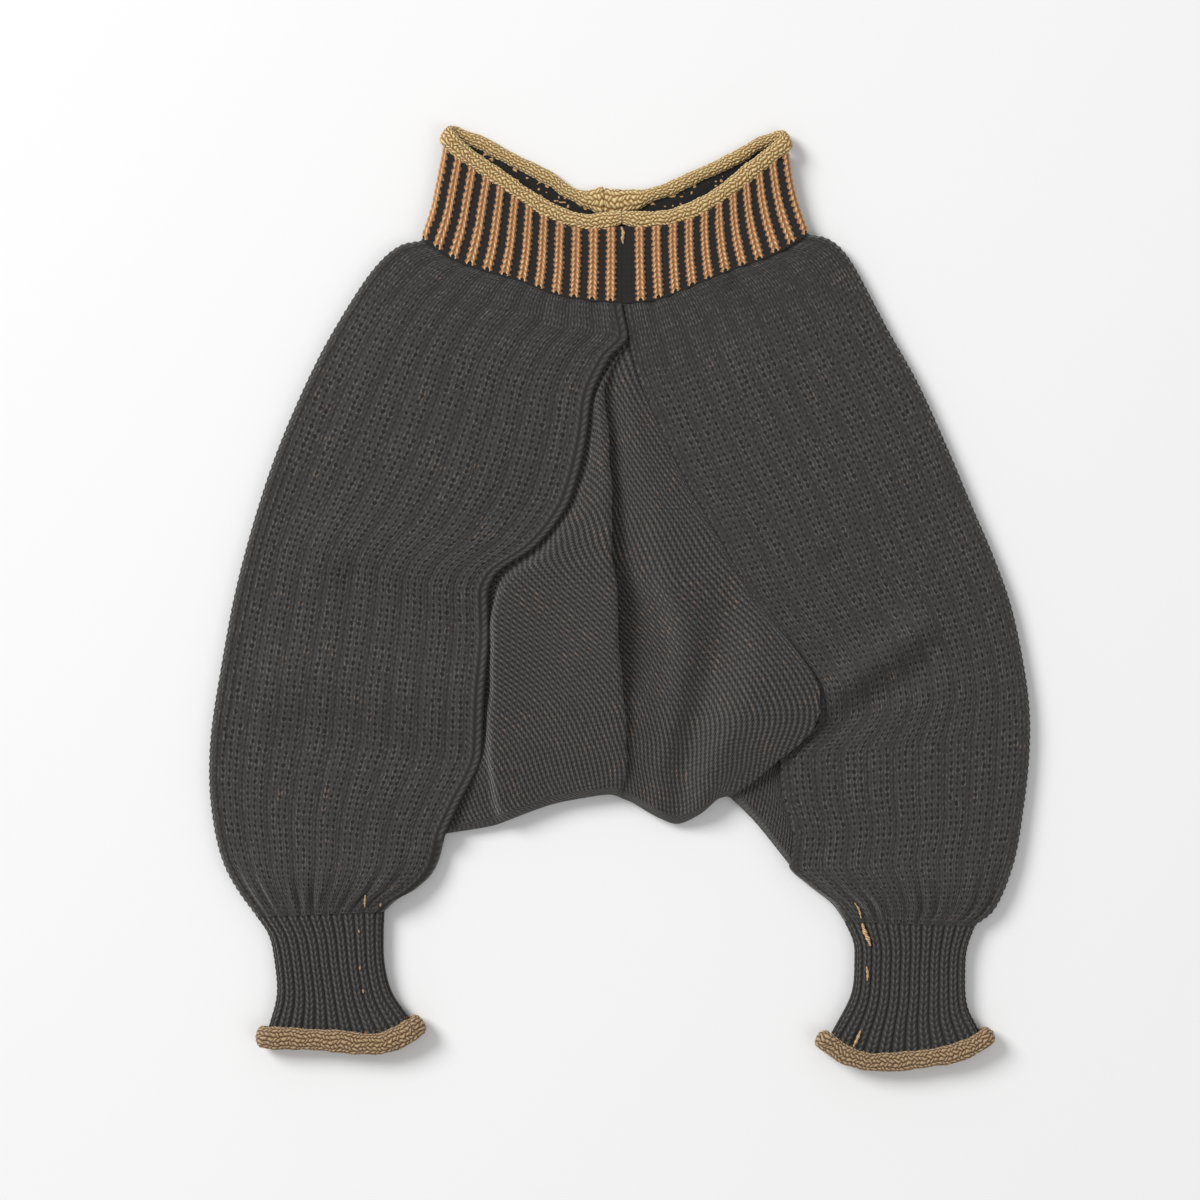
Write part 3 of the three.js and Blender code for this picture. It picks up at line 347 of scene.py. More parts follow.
# x, y and height of the waist roll's centre lines, out to the corner on the front and back underneath
WAIST_ROLL_LINE = {
    "left": {
        "front": [
            (1.1, 190.2, 8), (-2.5, 190.2, 8), (-9, 189.3, 8), (-18, 188.9, 8), (-34, 193.8, 8),
            (-46.5, 201.4, 8.1), (-59.5, 210.2, 8.3), (-72, 219, 8.6), (-80, 224.8, 8.9), (-84.3, 229.2, 9),
        ],
        "back": [
            (-80.4, 233.4, 2.5), (-70, 229.5, 2.5), (-58, 223, 2.5), (-46, 217, 2.5), (-34, 210.7, 2.5),
            (-26, 204.8, 2.5), (-19, 202.2, 2.5), (-13, 202.6, 2.5), (-7.9, 202.6, 2.5),
        ],
    },
    "right": {
        "front": [
            (0.9, 190.2, 8), (4.5, 190.2, 8), (11, 189.9, 8), (25, 191.2, 8), (39, 196, 8.1),
            (53, 204.6, 8.3), (67, 215.8, 8.6), (75.5, 222.4, 8.9), (80.3, 226.3, 9),
        ],
        "back": [
            (77.5, 231.3, 2.5), (70, 229, 2.5), (62, 224, 2.5), (50, 217.8, 2.5), (38, 212.5, 2.5),
            (26, 206.8, 2.5), (14, 203.2, 2.5), (0, 202.6, 2.5), (-8.1, 202.6, 2.5),
        ],
    },
}
# The back of the waist roll bulges towards the front at its seam, and its seam stands up
BACK_BULGE = SimpleNamespace(x=-2.5, half=14.5, wider=2.8, nearer=3, higher=1.2)
BACK_KNOT = SimpleNamespace(x=-8, half=3.5, wider=1.4)
# The front of the waist roll has a notch at its foot, at the centre seam
FRONT_NOTCH = SimpleNamespace(x=1, half=3.6, narrower=1.1, raised=0.9)

SIDES = ("left", "right")
OUTWARDS = {"left": 1, "right": -1}


# Lines and tables

def mix(a, b, share):
    return a + (b - a) * share


def ease(share):
    s = np.clip(share, 0, 1)
    return s * s * (3 - 2 * s)


def length_of(vectors):
    return np.linalg.norm(vectors, axis=-1)


def through(keys, values, at):
    """Smooth value at a key through a column of numbers, without overshoot."""
    keys = np.asarray(keys, float)
    values = np.asarray(values, float)
    if keys[0] > keys[-1]:
        keys = keys[::-1]
        values = values[::-1]
    chord = np.diff(values) / np.diff(keys)
    before = chord[:-1]
    after = chord[1:]
    turns = before * after <= 0
    total = np.where(turns, 1, before + after)
    inner = np.where(turns, 0, 2 * before * after / total)
    slope = np.concatenate([chord[:1], inner, chord[-1:]])
    i = np.clip(np.searchsorted(keys, at, side="right") - 1, 0, len(keys) - 2)
    width = keys[i + 1] - keys[i]
    s = np.clip((at - keys[i]) / width, 0, 1)
    bend = s * s * (3 - 2 * s)
    start = s * (1 - s) ** 2 * width * slope[i]
    end = s * s * (s - 1) * width * slope[i + 1]
    return mix(values[i], values[i + 1], bend) + start + end


def run_along(points):
    """Length from the first point to each point."""
    return np.concatenate([[0], np.cumsum(length_of(np.diff(points, axis=0)))])


LINE_STEPS = 40
FINE_STEPS = 4000


def smooth_line(table):
    """A centripetal Catmull-Rom line through the rows of a table, read by its share of the length."""
    rows = np.asarray(table, float)
    rows = np.vstack([2 * rows[0] - rows[1], rows, 2 * rows[-1] - rows[-2]])
    s = np.linspace(0, 1, LINE_STEPS, endpoint=False)[:, None]
    pieces = []
    for p0, p1, p2, p3 in zip(rows, rows[1:], rows[2:], rows[3:]):
        d0, d1, d2 = (length_of(b - a) ** 0.5 for a, b in ((p0, p1), (p1, p2), (p2, p3)))
        start = ((p1 - p0) / d0 - (p2 - p0) / (d0 + d1) + (p2 - p1) / d1) * d1
        end = ((p2 - p1) / d1 - (p3 - p1) / (d1 + d2) + (p3 - p2) / d2) * d1
        pieces.append(
            p1 + start * s + (3 * (p2 - p1) - 2 * start - end) * s**2 + (2 * (p1 - p2) + start + end) * s**3
        )
    points = np.vstack([*pieces, rows[-2]])
    run = run_along(points)
    run /= run[-1]
    return lambda share: np.stack([np.interp(share, run, column) for column in points.T], -1)


def shifted(points, amount):
    """A row of points moved sideways, to the left of its direction when the amount is positive."""
    ahead = np.gradient(points[:, :2], axis=0)
    ahead /= length_of(ahead)[:, None]
    moved = points.copy()
    moved[:, 0] -= amount * ahead[:, 1]
    moved[:, 1] += amount * ahead[:, 0]
    return moved


def x_at_height(table, y):
    rows = np.asarray(table, float)
    return through(rows[:, 1], rows[:, 0], y)


def plan_between(inner, outer, first, last):
    """Plan of a piece between its inner and outer edge, with curved first and last rows."""
    down = run_along(inner)
    down = (down / down[-1])[:, None]

    def bow(line, u):
        return line(u) - mix(line(0), line(1), u[:, None])

    def plan(u):
        across = np.broadcast_to(u, (len(inner),))
        base = mix(inner, outer, across[:, None])
        return base + bow(first, across) * (1 - down) + bow(last, across) * down

    return plan


# Values that vary over a surface, for the materials

class Field:
    """A value worked out by maths nodes of a material."""

    def __init__(self, tree, socket):
        self.tree = tree
        self.socket = socket

    def maths(self, operation, *values):
        node = self.tree.nodes.new("ShaderNodeMath")
        node.operation = operation
        for slot, value in zip(node.inputs, values):
            if isinstance(value, Field):
                self.tree.links.new(value.socket, slot)
            else:
                slot.default_value = value
        return Field(self.tree, node.outputs[0])

    def __add__(self, other):
        return self.maths("ADD", self, other)

    def __sub__(self, other):
        return self.maths("SUBTRACT", self, other)

    def __rsub__(self, other):
        return self.maths("SUBTRACT", other, self)

    def __mul__(self, other):
        return self.maths("MULTIPLY", self, other)

    __radd__ = __add__
    __rmul__ = __mul__


# The stitch patterns below work on numbers, for the meshes, and on fields, for the materials

def whole(x):
    return x.maths("FLOOR", x) if isinstance(x, Field) else np.floor(x)


def size_of(x):
    return x.maths("ABSOLUTE", x) if isinstance(x, Field) else np.abs(x)


def below(x, limit):
    """1 where x is below the limit, and 0 elsewhere."""
    return x.maths("LESS_THAN", x, limit) if isinstance(x, Field) else (x < limit) * 1.0


def wave(turns):
    """From 1 at each whole turn down to 0 at each half."""
    if isinstance(turns, Field):
        return turns.maths("COSINE", turns * (2 * math.pi)) * 0.5 + 0.5
    return np.cos(turns * (2 * math.pi)) * 0.5 + 0.5


def part_of(x):
    return x - whole(x)


V_RISE = 0.9
LOOP_SHARE = 0.55


def plain_stitch(wale, course):
    """Height, from 0 to 1, of the two slanted halves of each plain stitch."""
    across = part_of(wale)
    arm = 1 - wave(across * 2)
    loop = wave(course + size_of(across - 0.5) * V_RISE)
    return arm * (loop * LOOP_SHARE + (1 - LOOP_SHARE))


BOLD_RISE = 1.7
BOLD_SHARE = 0.8


def bold_stitch(wale, course):
    """Height of plain stitches whose two halves are plump slanted grains."""
    across = part_of(wale)
    arm = 1 - wave(across * 2)
    grain = wave(course + size_of(across - 0.5) * BOLD_RISE)
    return arm * (grain * BOLD_SHARE + (1 - BOLD_SHARE))


def purl_bump(wale, course):
    """Height, from 0 to 1, of the short bars of a purl column."""
    return wave(course + 0.5) * (1 - wave(wale) * 0.5)


def stitch_gap(wale, course, wide, tall):
    """1 in the gap at the middle of each stitch, where painted shade goes, and 0 or less outside an oval
    round it.
    """
    across = (part_of(wale + 0.5) - 0.5) * (1 / wide)
    along = (part_of(course) - 0.5) * (1 / tall)
    return 1 - across * across - along * along


RIDGE_SHARE = 0.55


def gusset_knit(wale, course):
    """Ridges along the wales, with gaps between them beside every stitch."""
    ridge = wave(wale)
    checks = (ridge * 2 - 1) * (wave(course) * 2 - 1) * 0.5 + 0.5
    return ridge * RIDGE_SHARE + checks * (1 - RIDGE_SHARE)


CUFF_COLUMN = 0.42
CUFF_BASE = 0.3


def cuff_rib(wale, course):
    """One plain column in the middle of each rib, and a narrow groove between."""
    across = part_of(wale) - 0.5
    column = below(size_of(across), CUFF_COLUMN)
    plain = bold_stitch(across * (0.5 / CUFF_COLUMN) + 0.5, course)
    return (plain + CUFF_BASE) * column - CUFF_BASE


BRAID_LEAN = 0.8
GRAIN_SHARE = 0.75


def braid(wale, course):
    """Plump slanted grains in rows along a roll, leaning one way and then the other."""
    row = whole(course)
    lean = (part_of(row * 0.5) * 4 - 1) * BRAID_LEAN
    across = part_of(course) - 0.5
    grain = wave(wale + lean * across + row * 0.5)
    return (1 - across * across * 4) * (grain * GRAIN_SHARE + (1 - GRAIN_SHARE))


# Meshes

class Garment:
    """Where the drawing's millimetres lie in the model's frame."""

    def __init__(self):
        left = smooth_line(LEG_OUTLINE["left"])(np.linspace(0, 1, FINE_STEPS))
        low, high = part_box("leg_left")
        self.x = low[0] / MM - left[:, 0].min()
        self.y = high[1] / MM - (LEG_OUTLINE["left"][0][1] - SEAM_GAP)

    def place(self, points):
        return (np.asarray(points, float) + (self.x, self.y, 0)) * MM


garment = Garment()


def grid_faces(start, rows, columns, flipped=False):
    index = start + np.arange(rows * columns).reshape(rows, columns)
    corners = [index[:-1, :-1], index[1:, :-1], index[1:, 1:], index[:-1, 1:]]
    if flipped:
        corners = corners[::-1]
    return np.stack(corners, -1).reshape(-1, 4).tolist()


def zipped(first, first_places, second, second_places):
    """Triangles between two rows of points, matched by their places along the row."""
    faces = []
    i = 0
    k = 0
    while i + 1 < len(first) or k + 1 < len(second):
        on_first = i + 1 < len(first) and (
            k + 1 >= len(second) or first_places[i + 1] <= second_places[k + 1]
        )
        if on_first:
            faces.append((first[i], first[i + 1], second[k]))
            i += 1
        else:
            faces.append((first[i], second[k + 1], second[k]))
            k += 1
    return faces


def outwards(points, faces):
    """The faces, all turned round if they face inwards."""
    total = 0.0
    for corners in {len(face) for face in faces}:
        group = points[np.array([face for face in faces if len(face) == corners])]
        for i in range(1, corners - 1):
            total += (group[:, 0] * np.cross(group[:, i], group[:, i + 1])).sum()
    return faces if total > 0 else [face[::-1] for face in faces]


def make_piece(name, points, faces, stitches, materials, inside_from=None):
    """A mesh object at the origin, with its stitch count as a UV map."""
    placed = garment.place(points)
    mesh = bpy.data.meshes.new(name)
    mesh.from_pydata(placed.tolist(), [], faces)
    mesh.validate()
    layer = mesh.uv_layers.new(name="knit")
    corner = np.empty(len(mesh.loops), int)
    mesh.loops.foreach_get("vertex_index", corner)
    layer.data.foreach_set("uv", np.asarray(stitches, np.float32)[corner].ravel())
    mesh.polygons.foreach_set("use_smooth", np.ones(len(mesh.polygons), bool))
    for material in materials:
        mesh.materials.append(material)
    if inside_from is not None and len(materials) > 1:
        lowest = np.array([min(p.vertices) for p in mesh.polygons])
        mesh.polygons.foreach_set("material_index", (lowest >= inside_from).astype(np.int32))
    mesh.update()
    piece = bpy.data.objects.new(name, mesh)
    bpy.context.scene.collection.objects.link(piece)
    return piece


class FoldedGrid:
    """The points of a wall's outside, or of its inside where wall isn't 0, column by column."""

    def __init__(self, piece, wall):
        self.piece = piece
        self.wall = wall
        self.zeros = np.zeros(piece.rows)
        run = FOLD_RUN / length_of(piece.front(self.zeros) - piece.front(self.zeros + 1))
        self.turn = 1 - run
        self.inset = run if piece.edge_steps else self.zeros
        self.low = BACK_CLOTH if wall else 0.0
        self.front = piece.inside_front if wall and piece.inside_front else piece.front
        self.points = []
        self.wales = []
        self.places = []

    def add(self, plan, z, wale, place):
        self.points.append(np.column_stack([plan, np.broadcast_to(z, self.piece.rows)]))
        self.wales.append(wale)
        self.places.append(place)

    def height(self, plan, u):
        if self.wall and self.piece.inside_front:
            return GUSSET_INSIDE_HEIGHT + self.zeros
        top = self.piece.top(plan, u)
        return np.minimum(top - self.wall, BACK_CLOTH + ROOM_INSIDE) if self.wall else top

    def curl(self, plan, share, is_front, wale, place):
        """A column of the inner edge: open and flat, or curled over to the back where piece.closed is 1."""
        piece = self.piece
        half = piece.edge_height / 2
        angle = share * math.acos(SEAM_TOUCH / 2 / half)
        start = plan(self.inset)
        reach = mix(share, math.sin(angle) * (1 - self.wall / FOLD_RUN), piece.closed)
        spot = mix(start, plan(self.zeros), reach[:, None])
        if is_front:
            flat = self.height(spot, self.inset * (1 - share))
            curled = half + (self.height(start, self.inset) - half) * math.cos(angle)
        else:
            flat = self.low
            curled = half - (half - self.wall * BACK_CLOTH / piece.cloth) * math.cos(angle)
        self.add(spot, mix(flat, curled, piece.closed), wale, place)

    def curl_front(self):
        for step in range(self.piece.edge_steps, 0, -1):
            share = step / self.piece.edge_steps
            self.curl(self.front, share, True, -share * self.piece.edge_wales, -share)

    def cover_front(self, steps):
        for i in range(steps + 1):
            share = i / steps
            u = mix(self.inset, self.turn, share)
            plan = self.front(u)
            self.add(plan, self.height(plan, u), share * self.piece.wales, share)

    def fold_under(self, steps):
        piece = self.piece
        start_height = self.points[-1][:, 2]
        tip = piece.front(self.zeros + 1)
        for step in range(1, steps):
            share = step / steps
            under = (1 - math.cos(math.pi * share)) / 2
            centre = mix(self.front(self.turn), piece.back(self.turn), under)
            reach = math.sin(math.pi * share) * (1 - self.wall / FOLD_RUN)
            wale = piece.wales + share * piece.fold_wales
            self.add(mix(centre, tip, reach), mix(start_height, self.low, under), wale, 1 + share)

    def cover_back(self, steps):
        piece = self.piece
        for i in range(steps, -1, -1):
            share = i / steps
            wale = piece.wales * 2 + piece.fold_wales - share * piece.wales
            self.add(piece.back(mix(self.inset, self.turn, share)), self.low, wale, 3 - share)

    def curl_back(self):
        piece = self.piece
        for step in range(1, piece.edge_steps + 1):
            share = step / piece.edge_steps
            wale = piece.wales * 2 + piece.fold_wales + share * piece.edge_wales
            self.curl(piece.back, share, False, wale, 3 + share)


def folded_grid(piece, wall):
    """Points over the front, round the outer fold and back underneath, for each row of a piece."""
    grid = FoldedGrid(piece, wall)
    counts = piece.inside if wall else piece.outside
    grid.curl_front()
    grid.cover_front(counts.across)
    grid.fold_under(counts.fold)
    grid.cover_back(counts.under)
    grid.curl_back()
    return np.stack(grid.points, 1), np.array(grid.wales), np.array(grid.places)


def normals_of(grid):
    down = np.gradient(grid, axis=0)
    across = np.gradient(grid, axis=1)
    normal = np.cross(down, across)
    size = np.maximum(length_of(normal), 1e-9)
    return normal / size[..., None]


# Height over the floor at which relief starts, and the height over which it grows
RELIEF_FROM = 2.5
RELIEF_BLEND = 3


def raised(piece, outer, wale_grid, course_grid, places):
    """The outside's points, raised where piece.relief says, but for the underside."""
    normal = normals_of(outer)
    if normal[piece.rows // 2, len(places) // 4, 2] < 0:
        normal = -normal
    shown = ease((outer[..., 2] - RELIEF_FROM) / RELIEF_BLEND)
    relief = piece.relief(wale_grid, course_grid) * shown
    relief[..., places > 2] = 0
    return outer + normal * relief[..., None]


def wall_faces(rows, places, inner_places):
    """Faces of a closed wall: its outside, its inside and the rims between them."""
    columns = len(places)
    inner_columns = len(inner_places)
    offset = rows * columns
    faces = grid_faces(0, rows, columns)
    faces += grid_faces(offset, rows, inner_columns, flipped=True)
    a = np.arange(rows * columns).reshape(rows, columns)
    b = offset + np.arange(rows * inner_columns).reshape(rows, inner_columns)
    for side, order in ((0, 1), (-1, -1)):
        for i in range(rows - 1):
            face = (a[i, side], b[i, side], b[i + 1, side], a[i + 1, side])
            faces.append(tuple(int(k) for k in face[::order]))
    faces += zipped(a[0].tolist(), places, b[0].tolist(), inner_places)
    foot = zipped(a[-1].tolist(), places, b[-1].tolist(), inner_places)
    return faces + [face[::-1] for face in foot]


def folded_piece(name, piece, materials):
    """A closed wall with a fine outside, raised where piece.relief says, over a plain inside."""
    outer, wales, places = folded_grid(piece, 0)
    inner, inner_wales, inner_places = folded_grid(piece, piece.cloth)
    course = np.linspace(0, piece.courses, piece.rows)
    if piece.stitches is None:
        wale_grid, course_grid = np.meshgrid(wales, course)
    else:
        wale_grid, course_grid = piece.stitches(outer)
    if piece.relief:
        outer = raised(piece, outer, wale_grid, course_grid, places)
    outer[..., 2] = np.maximum(outer[..., 2], 0)
    points = np.vstack([outer.reshape(-1, 3), inner.reshape(-1, 3)])
    faces = wall_faces(piece.rows, places, inner_places)
    inner_course = np.broadcast_to(course[:, None], inner.shape[:2])
    inner_wale = np.broadcast_to(inner_wales, inner.shape[:2])
    stitches = np.vstack([
        np.stack([wale_grid, course_grid], -1).reshape(-1, 2),
        np.stack([inner_wale, inner_course], -1).reshape(-1, 2),
    ])
    inside_from = piece.rows * len(places)
    return make_piece(name, points, outwards(points, faces), stitches, materials, inside_from)


def fold_rise(folds, plan):
    """Height of the soft folds of a leg's front at each point."""
    rise = np.zeros(len(plan))
    for start, end, half, amount in folds:
        start = np.array(start, float)
        line = np.array(end, float) - start
        length = length_of(line)
        ahead = line / length
        away = plan - start
        along = away @ ahead
        aside = np.abs(away[:, 0] * ahead[1] - away[:, 1] * ahead[0])
        past = np.maximum(0, np.maximum(-along, along - length))
        off = np.hypot(aside, past) / half
        rise += amount * np.exp(-off * off)
    return rise


def seam_rows(side, rows):
    """A leg's inner edge at even steps of its length, on the front and on the back."""
    table = FRONT_SEAM[side]
    fine = np.linspace(table[0][1], table[-1][1], FINE_STEPS)
    run = run_along(np.column_stack([x_at_height(table, fine), fine]))
    y = np.interp(np.linspace(0, run[-1], rows), run, fine)
    raised = np.interp(y, ABOVE_GUSSET["front"], ABOVE_GUSSET["back"])
    back_y = np.where(y > ABOVE_GUSSET["front"][0], raised, y)
    front = np.column_stack([x_at_height(table, y), y])
    back = np.column_stack([x_at_height(BACK_SEAM[side], back_y), back_y])
    return front, back


def near_multiple(x, step, half):
    """1 on each multiple of a step, falling off smoothly to the sides."""
    off = (np.abs(part_of(x / step + 0.5) - 0.5) * step) / half
    return np.exp(-off * off)


def chain_stitch(side, wale, course):
    """The bold plain column along a leg's edge beside the gusset."""
    return bold_stitch((wale + 1) * (1 / (CHAIN_WALES[side] + 1)), course * CHAIN.courses)


def leg_plans(side, front, back):
    """Plans of a leg's front and back, each between its inner edge and the outline."""
    down = run_along(front)
    outer = smooth_line(LEG_OUTLINE[side])(down / down[-1])
    cuff_top = smooth_line([CUFF[side]["inner"][0], CUFF[side]["outer"][0]])
    settle = np.zeros(front.shape)
    settle[:, 1] -= SEAM_TOUCH * np.maximum(0, 1 - down / SETTLE_RUN)
    settle[:, 1] += SEAM_TOUCH / 2 * np.maximum(0, 1 - (down[-1] - down) / SETTLE_RUN)

    def plan_of(face, seam):
        inner = shifted(seam, -OUTWARDS[side] * SEAM_TOUCH / 2)
        plan = plan_between(inner, outer, smooth_line(WAIST_SEAM[side][face]), cuff_top)
        return lambda u: plan(u) + settle

    return plan_of("front", front), plan_of("back", back)


def leg_relief(side, beside_gusset):
    """Ribs with their swell, gathers above the cuff, and the bold column beside the gusset."""
    chain_end = CHAIN_WALES[side]
    beside_gusset = beside_gusset[:, None]

    def relief(wale, course):
        groove = near_multiple(wale, LEG_RIB.wales, LEG_RIB.half)
        groove *= ease((wale - chain_end) / 1.5) * ease((LEG_WALES + 0.5 - wale) / 1.5)
        at_waist = ease((LEG_TOP.courses - course) / LEG_TOP.blend)
        at_cuff = ease((course - (LEG_COURSES - LEG_FOOT.courses)) / LEG_FOOT.blend)
        at_cuff *= ease((LEG_COURSES + 1 - course) / LEG_FOOT.end_blend)
        sway = np.sin(course * GATHERS.sway_rate) * GATHERS.sway
        gathers = (wave(wale / GATHERS.wales + sway) - 0.5) * at_cuff * GATHERS.depth
        chain = ease((chain_end + CHAIN.overlap - wale) / CHAIN.blend) * beside_gusset
        chain *= CHAIN.rise * (CHAIN.plain + CHAIN.stitch * chain_stitch(side, wale, course))
        off = (wale - chain_end - CHAIN.groove_place) / CHAIN.groove_half
        beside_chain = np.exp(-off * off) * beside_gusset * CHAIN.groove
        swell = np.sin(course * 0.23 + wale * 0.31) * np.sin(course * 0.11 - wale * 0.43) * LEG_SWELL
        ribs = groove * LEG_RIB.depth * (1 + LEG_TOP.deeper * at_waist + LEG_FOOT.deeper * at_cuff)
        knots = wave(course) * ease(wale - LEG_WALES + 0.5) * KNOT_RISE
        return swell + chain + gathers + knots - ribs - beside_chain

    return relief


def make_leg(side, material):
    rows = LEG_COURSES * LEG_MESH.rows + 1
    front, back = seam_rows(side, rows)
    front_plan, back_plan = leg_plans(side, front, back)
    down = run_along(front)
    closed = ease((GUSSET_FOOT[side] - front[:, 1]) / CLOSED_RUN)
    beside_gusset = ease((GUSSET_TOP + 4 - front[:, 1]) / 6) * (1 - closed)

    def top(plan, u):
        calm = ease((1 - u) / FOLD_CALM)
        arch = np.sin(math.pi * mix(LEG_DOME.start, 1, u))
        dome = LEG_DOME.rise * arch * ease((down[-1] - down) / LEG_DOME.end_run)
        lift = STANDING_EDGE[side] * (1 - ease(u / STANDING_WIDTH)) * (1 - closed)
        folds = fold_rise(LEG_FOLDS[side], plan) * FOLD_GAIN
        return LEG_EDGE_HEIGHT + (dome + folds) * calm + lift

    piece = SimpleNamespace(
        rows=rows, cloth=BODY_CLOTH, edge_height=LEG_EDGE_HEIGHT, edge_steps=6, edge_wales=1,
        wales=LEG_WALES, fold_wales=3.5, courses=LEG_COURSES, closed=closed, stitches=None,
        outside=SimpleNamespace(across=LEG_WALES * LEG_MESH.columns, fold=12, under=16),
        inside=SimpleNamespace(across=6, fold=4, under=4), inside_front=None,
        front=front_plan, back=back_plan, top=top, relief=leg_relief(side, beside_gusset),
    )
    return folded_piece(f"knit_leg_{side}", piece, [material])


def gusset_edge(side, face, y):
    table = (FRONT_SEAM if face == "front" else BACK_SEAM)[side]
    return shifted(np.column_stack([x_at_height(table, y), y]), -OUTWARDS[side] * GUSSET_TUCK)


def smoothed(rows, reach):
    """Rows of numbers, each averaged softly over its neighbours within the reach."""
    weight = np.hanning(2 * reach + 1)
    wide = np.pad(rows, ((0, 0), (reach, reach)), mode="edge")
    return np.stack([np.convolve(row, weight / weight.sum(), mode="valid") for row in wide])


def gusset_surface(down):
    """The gusset's front as a grid over its lines, and its two edges under the legs."""
    edges = []
    for side in SIDES:
        y = mix(GUSSET_TOP, GUSSET_FOOT[side], down)
        heights = GUSSET_SEAM_HEIGHTS[side]
        height = through(np.linspace(0, 1, len(heights)), heights, down)
        edges.append(np.column_stack([gusset_edge(side, "front", y), height]))
    lines = [smooth_line(line)(down) for line in GUSSET_LINES.values()]
    lines = np.stack([edges[0], *lines, edges[1]])
    folds = np.arange(len(lines))
    phase = folds[:, None]
    waver = np.sin(lines[..., 1] / GUSSET_WAVER.long + phase * GUSSET_WAVER.long_phase)
    waver += GUSSET_WAVER.short_share * np.sin(lines[..., 1] / GUSSET_WAVER.short + phase)
    waver[[0, -1]] = 0
    lines[..., 0] += waver * GUSSET_WAVER.reach * ease(down / GUSSET_WAVER.calm)
    path = run_along(lines[:, int(GUSSET_MESH.columns * GUSSET_WIDEST)])
    across = np.interp(np.linspace(0, path[-1], GUSSET_MESH.rows), path, folds)
    sections = [
        np.column_stack([through(folds, line[:, axis], across) for axis in range(3)])
        for line in lines.swapaxes(0, 1)
    ]
    return np.stack(sections, 1), edges


def gusset_stitches(grid):
    """Wale and course at each point. Wales run along the right seam, and courses along the left one."""
    widths = np.cumsum(length_of(np.diff(grid, axis=0)), axis=0)
    widths = np.concatenate([np.zeros((1, grid.shape[1])), widths])
    cloth = smoothed(widths / widths[-1:], GUSSET_SMOOTHING)
    front = GUSSET_MESH.columns + 1
    behind = grid.shape[1] - front
    section = np.concatenate([
        np.linspace(0, GUSSET_FRONT_SHARE, front),
        np.linspace(GUSSET_FRONT_SHARE, 2, behind + 1)[1:],
    ])
    s = np.minimum(section, 2 - section)
    first = np.where(section <= 1, s * (1 - cloth), 1 - s * cloth)
    second = np.where(section <= 1, s * cloth, 1 - s * (1 - cloth))
    return first * GUSSET_WALES, second * GUSSET_COURSES


def make_gusset(material):
    rows = GUSSET_MESH.rows
    stations = GUSSET_MESH.columns
    down = np.linspace(0, 1, stations + 1)
    surface, edges = gusset_surface(down)
    foot_run = run_along(surface[:, -1, :2])
    share = (foot_run / foot_run[-1])[:, None, None]
    near_foot = ease((down - GUSSET_NEAR_FOOT) / (1 - GUSSET_NEAR_FOOT))[None, :, None]

    def flat_between(left, right):
        """A flat grid between two edges, which comes out to the foot of the front."""
        straight = mix(left[None], right[None], share)
        return straight + (surface[:, -1:, :2] - straight[:, -1:]) * near_foot

    def read(grid, u):
        place = np.clip(np.broadcast_to(u, (rows,)), 0, 1) * stations
        k = np.minimum(place.astype(int), stations - 1)
        row = np.arange(rows)
        return mix(grid[row, k], grid[row, k + 1], (place - k)[:, None])

    inside = flat_between(*(edge[:, :2] for edge in edges))
    under = flat_between(*(
        gusset_edge(side, "back", mix(GUSSET_TOP, GUSSET_FOOT[side], down)) for side in SIDES
    ))
    piece = SimpleNamespace(
        rows=rows, cloth=BODY_CLOTH, edge_height=LEG_EDGE_HEIGHT, edge_steps=0, edge_wales=0,
        wales=1, fold_wales=0.1, courses=1, closed=None, stitches=gusset_stitches,
        outside=SimpleNamespace(across=stations, fold=12, under=26),
        inside=SimpleNamespace(across=20, fold=4, under=10),
        inside_front=lambda u: read(inside, u),
        front=lambda u: read(surface[..., :2], u),
        back=lambda u: read(under, u),
        top=lambda plan, u: read(surface[..., 2:], u)[:, 0],
        relief=None,
    )
    return folded_piece("knit_gusset", piece, [material])


EDGE_SAMPLES = 9


def band_top(side, face):
    """Top edge of a waistband, tucked under its roll, from the centre to the side."""
    line = WAIST_ROLL_LINE[side][face]
    line = line if face == "front" else line[::-1]
    samples = smooth_line([row[:2] for row in line])(np.arange(EDGE_SAMPLES) / EDGE_SAMPLES)
    edge = shifted(samples, OUTWARDS[side] * (getattr(WAIST_ROLL, face) - ROLL_TUCK))
    first = (WAIST_SEAM[side][face][0][0], edge[0][1])
    return [first, *edge[1:].tolist(), WAIST_SIDE[side][-1]]


def stripe_share(side, wale):
    """How far a place is from the middle of its ochre stripe, in stripe pitches."""
    stripes = STRIPES[side]
    return part_of((wale - stripes.first) * (1 / stripes.pitch) + 0.5) - 0.5


def has_stripes(side, wale):
    """0 beside the centre seam, before the first stripe, and 1 elsewhere."""
    stripes = STRIPES[side]
    return 1 - below(wale, stripes.first - stripes.pitch / 2)


def stripe_stitch(off, course):
    """The one plain column that each ochre stripe is."""
    return bold_stitch(off * (0.5 / STRIPE_HALF) + 0.5, course)


# The pointed feet of a stripe: their slope, where the two points are, and the course at which they end
STRIPE_POINT = 3.5
STRIPE_PRONG = 0.16
STRIPE_FOOT = 0.25
STRIPE_FOOT_BLEND = 0.5


